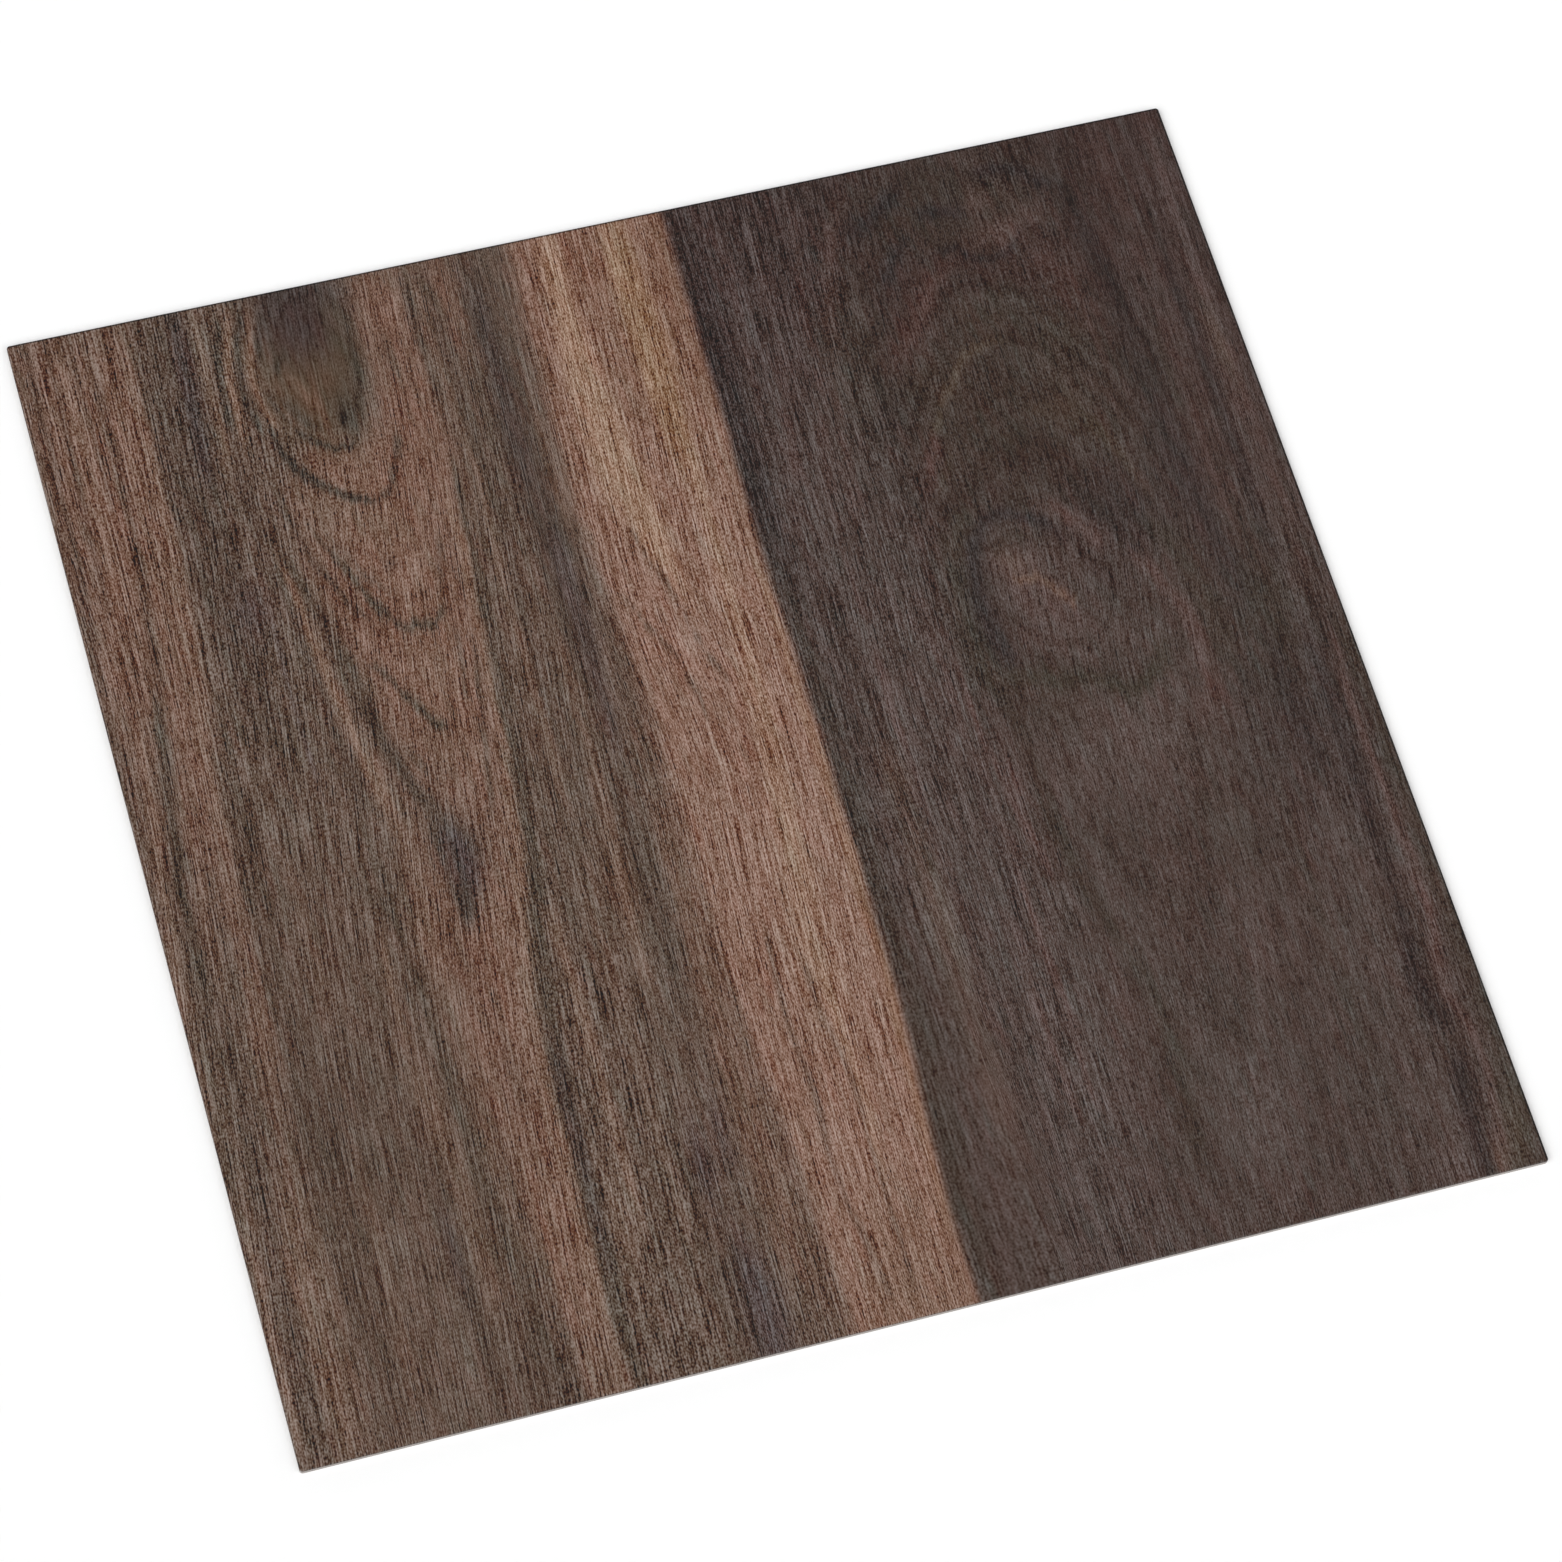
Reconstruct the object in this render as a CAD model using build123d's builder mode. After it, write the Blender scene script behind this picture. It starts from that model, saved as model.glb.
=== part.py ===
"""Square vinyl floor tile, die-cut from one hot-pressed PVC sheet.

The tile lies flat, printed wear face up. The origin is the centre of its underside, +Z points out of
the wear face, +Y runs along the printed wood grain and +X across it. All sizes are in millimetres.

The sheet is cut face up, so the die leaves square walls that neighbouring tiles butt against, slightly
rounded corners, and a small rounded arris where the knife pulls the wear face down before it shears.
The underside is flat out to the walls, because it is glued down all over.
"""

import os

from build123d import *

# Driving dimensions
tile_width = 304.8  # across the grain, the 12 inch module
tile_length = 304.8  # along the grain, the 12 inch module
sheet_thickness = 1.5  # wear face to underside
corner_radius = 0.8  # of the cutting die, seen from above
arris_radius = 0.2  # round of the wear face into the cut walls

with BuildPart() as floor_tile:
    with BuildSketch() as die_outline:
        RectangleRounded(tile_width, tile_length, corner_radius)
    extrude(amount=sheet_thickness)
    wear_face = floor_tile.faces().sort_by(Axis.Z)[-1]
    fillet(wear_face.edges(), arris_radius)

floor_tile.part.label = "floor_tile"

os.makedirs("parts", exist_ok=True)
export_step(floor_tile.part, "parts/floor_tile.step")
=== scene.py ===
"""Looks of the square vinyl floor tile: its walnut-grain print, satin wear face, cut edges and back.

The CAD gives the tile's size. This script lays one fine mesh over it, colours the print as figures of
grain drawn in millimetres on the tile, and gives each surface the finish that its making leaves.
Print places are (x, y) in millimetres, x from the west edge across the grain and y from the south
edge along it. Everything else is in metres in the frame of the CAD.
"""

import logging
import math
from collections.abc import Callable
from dataclasses import dataclass
from enum import Enum
from functools import partial

import bpy
import numpy as np
from mathutils import Matrix, Vector


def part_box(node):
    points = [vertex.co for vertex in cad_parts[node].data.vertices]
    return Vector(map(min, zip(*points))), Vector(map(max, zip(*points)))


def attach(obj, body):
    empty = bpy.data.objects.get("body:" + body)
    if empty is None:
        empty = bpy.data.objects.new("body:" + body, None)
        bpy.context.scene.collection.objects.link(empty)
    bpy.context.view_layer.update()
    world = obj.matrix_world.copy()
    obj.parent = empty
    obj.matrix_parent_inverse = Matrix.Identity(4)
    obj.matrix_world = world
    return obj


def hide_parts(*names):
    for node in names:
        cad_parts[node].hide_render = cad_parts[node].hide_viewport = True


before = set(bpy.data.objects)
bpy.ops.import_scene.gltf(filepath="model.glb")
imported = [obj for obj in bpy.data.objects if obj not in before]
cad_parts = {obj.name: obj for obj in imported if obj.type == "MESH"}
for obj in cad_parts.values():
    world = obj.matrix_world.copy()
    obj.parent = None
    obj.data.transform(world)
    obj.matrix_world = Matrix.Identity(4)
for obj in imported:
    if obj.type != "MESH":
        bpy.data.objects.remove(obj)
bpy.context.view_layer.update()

LOG = logging.getLogger("floor_tile")
MM = 0.001
NODE_NAME = "floor_tile"
BODY_NAME = "root"
TINT_AND_RIM_SHADE_LAYER = "print_tint_and_rim_shade"
GRAIN_LAYER = "grain_strength"
STREAK_LAYER = "streak_strength"
RING_LAYER = "ring_strength"
FIBRE_MAP = "fibres"
RING_MAP = "rings"
BAKE_MAP = "OFBake"

# The sRGB curve's offset and power, which also turn a tint to its code and back
SRGB_OFFSET = 0.055
SRGB_POWER = 2.4


def srgb_values(code: str) -> np.ndarray:
    """Red, green and blue of an sRGB hex code such as #635147, from 0 to 1 and still in sRGB."""
    return np.array([int(code[i : i + 2], 16) for i in (1, 3, 5)]) / 255.0


def paint_code(code: str) -> tuple[float, float, float, float]:
    """Turns an sRGB hex code linear for a shader socket.

    A part c goes to c / 12.92 below 0.04045, else to ((c + 0.055) / 1.055) to the 2.4.

    Args:
        code: The hex code.

    Returns:
        The colour in linear light, with an alpha of 1.
    """
    srgb = srgb_values(code)
    curve = ((srgb + SRGB_OFFSET) / (1.0 + SRGB_OFFSET)) ** SRGB_POWER
    return (*np.where(srgb <= 0.04045, srgb / 12.92, curve).tolist(), 1.0)


# The printed wood figure
Path = tuple[tuple[float, float, float], ...]
Border = tuple[tuple[float, float], ...]


class Ink(Enum):
    """Ink tints of the walnut print, as the eye sees them through the wear film."""

    PITCH = "#2f251f"
    SOOT = "#39302e"
    MOSS = "#443b33"
    RAISIN = "#453733"
    COCOA = "#4f423d"
    MAUVE = "#574a45"
    GARNET = "#503d38"
    PLUM = "#504241"
    OLIVE = "#53463b"
    UMBER = "#54443a"
    BISTRE = "#5b4a3f"
    WALNUT = "#635146"
    KHAKI = "#624f41"
    HAZEL = "#70584a"
    RUSSET = "#775a4c"
    ROSEWOOD = "#5f4b46"
    FAWN = "#7f6556"
    SALMON = "#86685a"
    SORREL = "#7a5d4e"
    BLUSH = "#8b6e60"
    HONEY = "#8b6e56"
    CREAM = "#9b7f6a"

    def seen(self) -> np.ndarray:
        """The tint as sRGB numbers from 0 to 1."""
        return srgb_values(self.value)


def ease(t: np.ndarray) -> np.ndarray:
    """Clips t to 0..1 and eases it in and out: 3 t squared less 2 t cubed."""
    t = np.clip(t, 0.0, 1.0)
    return t * t * (3.0 - 2.0 * t)


def fall_off(off: np.ndarray, hardness: float = 1.0) -> np.ndarray:
    """Cover at a distance off a figure's middle, over its half width: exp(-0.7 off^(2 hardness)).

    Args:
        off: The distance over the half width. All past 6 counts as 6, where nothing is left.
        hardness: 1 for a soft edge, more for a harder one.

    Returns:
        The cover, 0 to 1.
    """
    return np.exp(-0.7 * np.minimum(off, 6.0) ** (2.0 * hardness))


def follow(stations: np.ndarray, values: np.ndarray, at: np.ndarray) -> np.ndarray:
    """Carries a smooth curve through values given at rising stations.

    Each span is a Hermite cubic whose end slopes are the mean slopes of the spans beside it, and
    outside the stations the curve runs on straight.

    Args:
        stations: Rising positions of the known values.
        values: The values there.
        at: Positions to read.

    Returns:
        The curve at those positions.
    """
    slopes = np.gradient(values, stations)
    k = np.clip(np.searchsorted(stations, at) - 1, 0, len(stations) - 2)
    span = stations[k + 1] - stations[k]
    t = (at - stations[k]) / span
    inside = np.clip(t, 0.0, 1.0)
    t2, t3 = inside**2, inside**3
    curve = (
        (2 * t3 - 3 * t2 + 1) * values[k]
        + (t3 - 2 * t2 + inside) * span * slopes[k]
        + (3 * t2 - 2 * t3) * values[k + 1]
        + (t3 - t2) * span * slopes[k + 1]
    )
    return curve + (t - inside) * span * np.where(t > 1.0, slopes[k + 1], slopes[k])


def by_height(points: Path | Border) -> np.ndarray:
    """Points of a path as columns, sorted from the south edge to the north."""
    return np.array(sorted(points, key=lambda point: point[1])).T


@dataclass(frozen=True)
class Drift:
    """Slow random waves, such as the wander of a grain line.

    The value is the sum of cosines whose wavelengths scatter round the two given ones, scaled to a
    standard deviation of 1.
    """

    across: float
    along: float
    seed: int
    waves: int = 28

    def at(self, x: np.ndarray, y: np.ndarray) -> np.ndarray:
        """The waves at places in the print.

        Args:
            x: Millimetres across the grain.
            y: Millimetres along the grain.

        Returns:
            The drift there.
        """
        draw = np.random.default_rng(self.seed)
        kx = 2 * np.pi / self.across * draw.normal(0.0, 1.0, self.waves)
        ky = 2 * np.pi / self.along * draw.normal(0.0, 1.0, self.waves)
        phase = draw.uniform(0.0, 2 * np.pi, self.waves)
        total = np.zeros_like(x)
        for wave in range(self.waves):
            total += np.cos(kx[wave] * x + ky[wave] * y + phase[wave])
        return total * math.sqrt(2.0 / self.waves)


@dataclass(frozen=True)
class Band:
    """A band of tint that runs with the grain, through stations of (x, y, half width) in mm.

    Its cover falls off to each side of the centre line and eases to nothing over the fade at each end.
    """

    ink: Ink
    strength: float
    path: Path
    hardness: float = 1.2
    fade: float = 16.0
    thinnest: float = 0.2

    def cover(self, x: np.ndarray, y: np.ndarray) -> np.ndarray:
        """How much of the tint lies at each place.

        Args:
            x: Millimetres from the west edge.
            y: Millimetres from the south edge.

        Returns:
            The cover, 0 to strength.
        """
        across, along, widths = by_height(self.path)
        half = np.maximum(np.interp(y, along, widths), self.thinnest)
        side = fall_off(np.abs(x - follow(along, across, y)) / half, self.hardness)
        ends = ease((y - along[0]) / self.fade + 0.5) * ease((along[-1] - y) / self.fade + 0.5)
        return self.strength * side * ends


@dataclass(frozen=True)
class Line:
    """A growth line of any bend, through stations of (x, y, half width) in mm.

    The curve runs smoothly through the stations by the distance along them. The cover falls off from
    the nearest of the curve's short chords, and eases to nothing over the fade at each end.
    """

    ink: Ink
    strength: float
    path: Path
    fade: float = 8.0
    chord: float = 2.5
    fewest_marks: int = 6

    def cover(self, x: np.ndarray, y: np.ndarray) -> np.ndarray:
        """How much of the tint lies at each place.

        Args:
            x: Millimetres from the west edge.
            y: Millimetres from the south edge.

        Returns:
            The cover, 0 to strength.
        """
        stations = np.array(self.path, float)
        steps = np.hypot(*np.diff(stations[:, :2], axis=0).T)
        along = np.concatenate([[0.0], np.cumsum(steps)])
        marks = np.linspace(0.0, along[-1], max(self.fewest_marks, round(along[-1] / self.chord)))
        line = np.stack([follow(along, stations[:, k], marks) for k in (0, 1)], 1)
        half = np.interp(marks, along, stations[:, 2])
        margin = 3.0 * half.max()
        low, high = line.min(0) - margin, line.max(0) + margin
        near = (x > low[0]) & (x < high[0]) & (y > low[1]) & (y < high[1])
        px, py = x[near], y[near]
        best = np.zeros_like(px)
        for k in range(len(marks) - 1):
            chord = line[k + 1] - line[k]
            east, north = px - line[k, 0], py - line[k, 1]
            t = np.clip((east * chord[0] + north * chord[1]) / (chord @ chord), 0.0, 1.0)
            off = np.hypot(east - t * chord[0], north - t * chord[1])
            off = off / (half[k] + t * (half[k + 1] - half[k]))
            run = marks[k] + t * (marks[k + 1] - marks[k])
            ends = ease(run / self.fade) * ease((along[-1] - run) / self.fade)
            best = np.maximum(best, fall_off(off) * ends)
        cover = np.zeros_like(x)
        cover[near] = self.strength * best
        return cover


@dataclass(frozen=True)
class Smudge:
    """A soft oval stain of tint, whose cover falls off with the radius over that of its ellipse."""

    ink: Ink
    strength: float
    centre: tuple[float, float]
    radii: tuple[float, float]
    tilt: float = 0.0
    hardness: float = 1.0

    def cover(self, x: np.ndarray, y: np.ndarray) -> np.ndarray:
        """How much of the tint lies at each place.

        Args:
            x: Millimetres from the west edge.
            y: Millimetres from the south edge.

        Returns:
            The cover, 0 to strength.
        """
        dx, dy = x - self.centre[0], y - self.centre[1]
        turn = math.radians(self.tilt)
        u = (dx * math.cos(turn) + dy * math.sin(turn)) / self.radii[0]
        v = (dy * math.cos(turn) - dx * math.sin(turn)) / self.radii[1]
        return self.strength * fall_off(np.hypot(u, v), self.hardness)


Figure = tuple[Band | Line | Smudge, ...]

# Borders of the sapwood stripe
SAP_WEST = (
    (128.6, 305), (128, 280), (127.2, 255), (126.6, 235), (127.6, 205), (128.6, 160), (128, 120),
    (129, 80), (130.5, 40), (131, 0),
)
SAP_EAST = (
    (169.6, 305), (168.9, 250), (168.0, 200), (167.6, 150), (167.0, 100), (165.2, 60), (162.9, 25),
    (162.4, 0),
)

# Left part of the west board: red heartwood bands that lean west as they run south
RED_BANDS = (
    Band(Ink.RUSSET, 0.8, (
        (15.5, 306, 15), (15, 260, 14.5), (13.5, 220, 12.5), (12.5, 185, 10), (11, 150, 9),
    ), 3.0, 50),
    Band(Ink.FAWN, 0.45, (
        (28.8, 300, 1.2), (27.4, 255, 1.8), (24.8, 215, 2.4), (22, 185, 2.2), (20.5, 158, 1.6),
    )),
    Band(Ink.FAWN, 0.35, ((11.5, 300, 1.6), (11.5, 262, 2.2), (10.5, 225, 1.8))),
    Band(Ink.FAWN, 0.3, ((22.5, 290, 1.0), (21.8, 250, 1.2), (19, 210, 1.2))),
    Band(Ink.UMBER, 0.4, ((9.2, 306, 0.8), (8.8, 262, 0.8), (7.5, 225, 0.9))),
    Band(Ink.UMBER, 0.35, ((15.6, 306, 0.7), (15.4, 255, 0.8))),
    Band(Ink.BISTRE, 0.5, ((20, 292, 0.9), (18.2, 242, 1.2), (14.8, 205, 1.5))),
    Band(Ink.OLIVE, 0.85, (
        (13.8, 200, 1.2), (10.6, 172, 2.0), (8.2, 148, 2.0), (5.8, 122, 1.6), (3.6, 95, 1.3),
        (2, 70, 1.1),
    )),
    Band(Ink.UMBER, 0.45, ((4.0, 300, 0.9), (3.6, 250, 1.0), (2.2, 205, 1.0))),
    Smudge(Ink.UMBER, 0.3, (9, 168), (5, 22)),
    Band(Ink.FAWN, 0.5, ((7.6, 196, 0.8), (5.2, 168, 1.2), (3, 142, 1.2), (0.8, 116, 1.1))),
    Band(Ink.FAWN, 0.3, ((13.6, 176, 1.0), (12.2, 148, 1.2), (11.2, 118, 1.1))),
    Band(Ink.RUSSET, 0.55, ((19, 156, 1.6), (18, 122, 2.4), (16.5, 95, 2.2))),
    Band(Ink.HAZEL, 0.55, ((15.5, 112, 2.4), (15.5, 80, 2.6), (15, 40, 3.0), (15, 5, 3.0))),
    Band(Ink.UMBER, 0.5, ((8.6, 118, 1.0), (7.8, 80, 1.6), (6.8, 45, 1.8), (5.6, 5, 1.5))),
    Band(Ink.HAZEL, 0.75, ((11.8, 70, 1.2), (11.2, 40, 1.8), (10.8, 0, 1.8))),
    Smudge(Ink.HAZEL, 0.4, (2.5, 100), (2.6, 40)),
    Band(Ink.FAWN, 0.55, ((2.0, 62, 0.8), (2.0, 35, 1.0), (1.6, 5, 1.0))),
)

# Plain brown ground between the red bands and the arches
BROWN_GROUND = (
    Band(Ink.BISTRE, 0.75, ((25.5, 175, 3.2), (24.5, 120, 4.0), (24, 60, 4.4), (24, 10, 3.8)), 2.0, 40),
    Band(Ink.HAZEL, 0.4, ((31.5, 92, 1.4), (31, 50, 1.6), (30.5, 15, 1.4))),
    Band(Ink.HAZEL, 0.3, ((34.5, 150, 1.2), (34, 110, 1.4))),
    Band(Ink.UMBER, 0.8, (
        (37, 306, 7.0), (36.8, 270, 7.0), (36.5, 240, 6.5), (36.5, 212, 6), (38, 185, 5),
    ), 3.0, 36),
    Band(Ink.SOOT, 0.4, ((42.2, 306, 1.6), (41, 280, 2.0), (40, 256, 1.6))),
    Band(Ink.PLUM, 0.4, ((42.2, 300, 1.8), (41, 275, 2.0), (40, 255, 1.6))),
    Smudge(Ink.PLUM, 0.55, (42, 217), (4.2, 6.5)),
    Band(Ink.PLUM, 0.45, ((46.2, 212, 0.8), (46, 188, 1.0), (45.4, 168, 0.8))),
    Band(Ink.FAWN, 0.55, ((47.6, 304, 0.8), (46.6, 282, 1.1), (45.6, 258, 0.9))),
    Band(Ink.UMBER, 0.5, ((50.6, 304, 0.8), (49.2, 280, 0.9), (48.2, 262, 0.9))),
    Band(Ink.HAZEL, 0.55, ((54.5, 304, 1.0), (52.2, 284, 1.2), (50.8, 262, 1.0))),
    Band(Ink.UMBER, 0.5, ((57.5, 304, 0.7), (54.8, 286, 0.8), (53.4, 272, 0.8))),
    Band(Ink.OLIVE, 0.55, ((50, 146, 1.0), (51, 128, 1.0))),
    Band(Ink.FAWN, 0.6, ((50.8, 128, 0.9), (50.4, 112, 1.2), (50.6, 96, 1.0))),
    Band(Ink.UMBER, 0.65, ((46, 84, 1.4), (47.2, 58, 2.0), (48.4, 30, 2.2), (49.4, 0, 1.6)), 1.4, 24),
    Band(Ink.PLUM, 0.35, ((46.4, 52, 1.4), (47.2, 32, 1.5))),
    Smudge(Ink.HAZEL, 0.6, (62, 70), (3.4, 54)),
    Band(Ink.HAZEL, 0.5, ((53, 84, 1.6), (53, 55, 2.0), (53.6, 25, 1.6))),
    Band(Ink.OLIVE, 0.7, (
        (54.4, 146, 1.0), (56, 112, 1.4), (57.4, 82, 1.6), (59, 55, 1.8), (61.2, 28, 2.2), (63, 0, 2.2),
    )),
    Band(Ink.WALNUT, 0.5, ((42, 120, 2.2), (42.5, 60, 2.4), (43, 20, 2.2))),
    Smudge(Ink.UMBER, 0.5, (29, 82), (12, 15)),
    Smudge(Ink.FAWN, 0.4, (50, 80), (2.6, 13)),
    Smudge(Ink.UMBER, 0.6, (61, 8), (3.6, 14)),
    Smudge(Ink.UMBER, 0.4, (53, 6), (6, 10)),
)

# Red ground under the cathedral figure, and the long tongue it runs out into
ARCH_GROUND = (
    Band(Ink.RUSSET, 0.85, ((93.5, 306, 6.8), (94.5, 262, 7.5), (95, 235, 6.5)), 2.5, 24),
    Band(Ink.RUSSET, 0.9, (
        (79, 264, 12), (78, 245, 19), (78, 222, 20), (78.5, 200, 17), (78.5, 175, 14.5), (77, 150, 13.5),
        (74, 125, 12), (72, 100, 8.8), (71.6, 75, 6.6), (72.5, 45, 5.4), (73, 20, 4.6), (74, -5, 4.2),
    ), 3.2, 22),
    Band(Ink.FAWN, 0.4, (
        (78.5, 262, 4.5), (79.5, 240, 7), (81, 215, 8), (82, 190, 7), (80, 165, 5),
    ), 1.2, 24),
    Smudge(Ink.KHAKI, 0.5, (73.5, 5), (3.6, 14)),
    Smudge(Ink.FAWN, 0.45, (79.5, 234), (6, 7)),
)

# The flanks of the arches, and the dark wedge where they meet
FLANK_LINES = (
    Band(Ink.HAZEL, 0.9, (
        (50.4, 238, 0.9), (53.4, 220, 1.4), (55.4, 203, 1.6), (57, 187, 1.7), (59, 170, 1.7),
        (61.6, 154, 1.6), (63.4, 138, 1.4),
    )),
    Band(Ink.FAWN, 0.7, (
        (51.2, 234, 0.5), (54, 217, 0.8), (56, 200, 0.9), (57.4, 184, 1.0), (59.4, 168, 1.0),
        (61.6, 154, 0.9),
    )),
    Band(Ink.UMBER, 0.55, (
        (46.8, 242, 1.0), (49.4, 226, 1.0), (51.8, 210, 1.0), (53.2, 195, 1.0), (54.6, 176, 1.0),
        (54.8, 156, 0.9),
    )),
    Smudge(Ink.WALNUT, 0.35, (73, 152), (10, 20)),
    Line(Ink.OLIVE, 0.8, (
        (49, 243, 0.8), (52.4, 234, 0.8), (56, 220, 0.9), (58.6, 207, 1.0), (60.2, 195, 1.1),
        (61.8, 184, 1.2), (64, 173, 1.4), (67.2, 162, 1.8), (70, 152, 2.2),
    ), 8),
    Line(Ink.UMBER, 0.75, (
        (60.6, 190, 0.6), (63, 179, 0.9), (66, 167, 1.4), (69.8, 157, 2.4), (73.2, 148, 4.4),
        (74.6, 139, 4.6), (73.8, 130, 3.2), (72, 119, 1.3),
    ), 7),
    Smudge(Ink.UMBER, 0.8, (74, 144), (5.6, 8), 0, 1.8),
    Line(Ink.SOOT, 0.35, ((73, 149, 1.6), (75, 140, 2.8), (73.6, 131, 2.0), (72, 122, 1.0)), 5),
    Line(Ink.PLUM, 0.6, ((72, 152, 1.8), (74.6, 145, 3.2), (75, 137, 3.4), (73.6, 130, 2.0)), 6),
    Line(Ink.MOSS, 0.65, ((72.6, 136, 1.6), (71.8, 127, 1.6), (71.2, 121, 0.9)), 4),
    Band(Ink.FAWN, 0.9, ((95.8, 238, 1.0), (96.4, 222, 1.4), (95.4, 200, 1.4), (94, 180, 1.0))),
    Band(Ink.FAWN, 0.75, (
        (93.8, 196, 0.8), (92.8, 172, 1.1), (90.4, 156, 1.2), (88, 140, 1.4), (84.4, 118, 1.6),
        (80.8, 95, 1.9), (77.8, 60, 1.8), (76.6, 20, 1.4),
    )),
    Band(Ink.OLIVE, 0.8, (
        (99.6, 244, 0.9), (98.4, 222, 1.0), (97.6, 203, 1.5), (96, 180, 1.5), (93.8, 158, 1.6),
        (90.6, 134, 1.7), (86.8, 112, 2.0), (83.2, 88, 2.3), (81.4, 55, 2.1), (80.4, 20, 1.7),
        (80.6, 0, 1.5),
    )),
    Band(Ink.OLIVE, 0.55, ((91.6, 194, 0.6), (88.8, 174, 0.7), (86, 158, 0.8), (84, 148, 0.8))),
    Band(Ink.PLUM, 0.35, ((83.2, 88, 1.2), (81.8, 55, 1.3), (81, 30, 1.0))),
    Band(Ink.SALMON, 0.12, ((69, 100, 1.6), (69.6, 60, 2.6), (70.4, 34, 2.2))),
    Smudge(Ink.WALNUT, 0.4, (66.4, 110), (3.6, 11)),
    Smudge(Ink.FAWN, 0.35, (71, 40), (3.4, 15)),
    Smudge(Ink.UMBER, 0.3, (71, 82), (3, 14)),
    Smudge(Ink.FAWN, 0.4, (61.6, 122), (2.4, 14)),
    Smudge(Ink.FAWN, 0.35, (79, 122), (2.4, 12)),
    Smudge(Ink.FAWN, 0.4, (87, 40), (3, 14)),
)

# The arches themselves
ARCH_LINES = (
    Line(Ink.MOSS, 1.0, (
        (57.6, 268, 0.7), (59.6, 259, 0.8), (62, 253.6, 0.9), (66, 247, 1.0), (71, 243, 1.0),
        (76, 241, 0.9), (80, 239.6, 0.8),
    ), 3),
    Line(Ink.UMBER, 0.7, ((78.6, 239.6, 0.8), (84, 243.6, 0.8), (87.4, 250.6, 0.8), (89, 258, 0.7)), 3),
    Line(Ink.UMBER, 0.7, (
        (53, 250, 0.6), (57, 238, 0.7), (61.6, 223, 0.8), (66, 212.6, 0.8), (71, 206, 0.7),
    ), 8),
    Line(Ink.OLIVE, 0.9, (
        (60, 241, 0.6), (65.6, 227, 0.8), (70.6, 214, 0.8), (75, 206.4, 1.0), (80, 203.8, 1.2),
        (84.6, 205, 1.0), (88, 210, 0.8),
    ), 7),
    Line(Ink.BISTRE, 0.6, ((64, 237, 0.6), (69, 225, 0.8), (74, 216, 0.8), (79, 213, 0.7)), 6),
    Line(Ink.BISTRE, 0.6, ((86, 209, 0.8), (89.6, 218, 0.8), (91.6, 230, 0.8)), 8),
    Line(Ink.OLIVE, 0.9, (
        (63.6, 198, 0.6), (67.4, 193.4, 0.9), (72, 187.6, 0.8), (76, 180, 0.8), (80.4, 175, 0.9),
        (83.4, 176.4, 0.6),
    ), 6),
    Line(Ink.BISTRE, 0.6, ((84, 178, 0.7), (87.6, 190, 0.7), (89, 204, 0.7)), 8),
    Line(Ink.BISTRE, 0.6, ((66, 178, 0.7), (70.4, 168, 0.8), (74.4, 160, 0.8)), 8),
    Line(Ink.UMBER, 0.6, ((48, 262, 0.8), (47, 250, 1.2), (49.6, 238, 0.9), (53, 224, 0.8)), 8),
    Smudge(Ink.MOSS, 0.35, (77.6, 221.6), (1.6, 2.0)),
    Smudge(Ink.KHAKI, 0.35, (78, 232), (4, 4.6)),
    Smudge(Ink.KHAKI, 0.5, (65, 238), (4.5, 8)),
)

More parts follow.
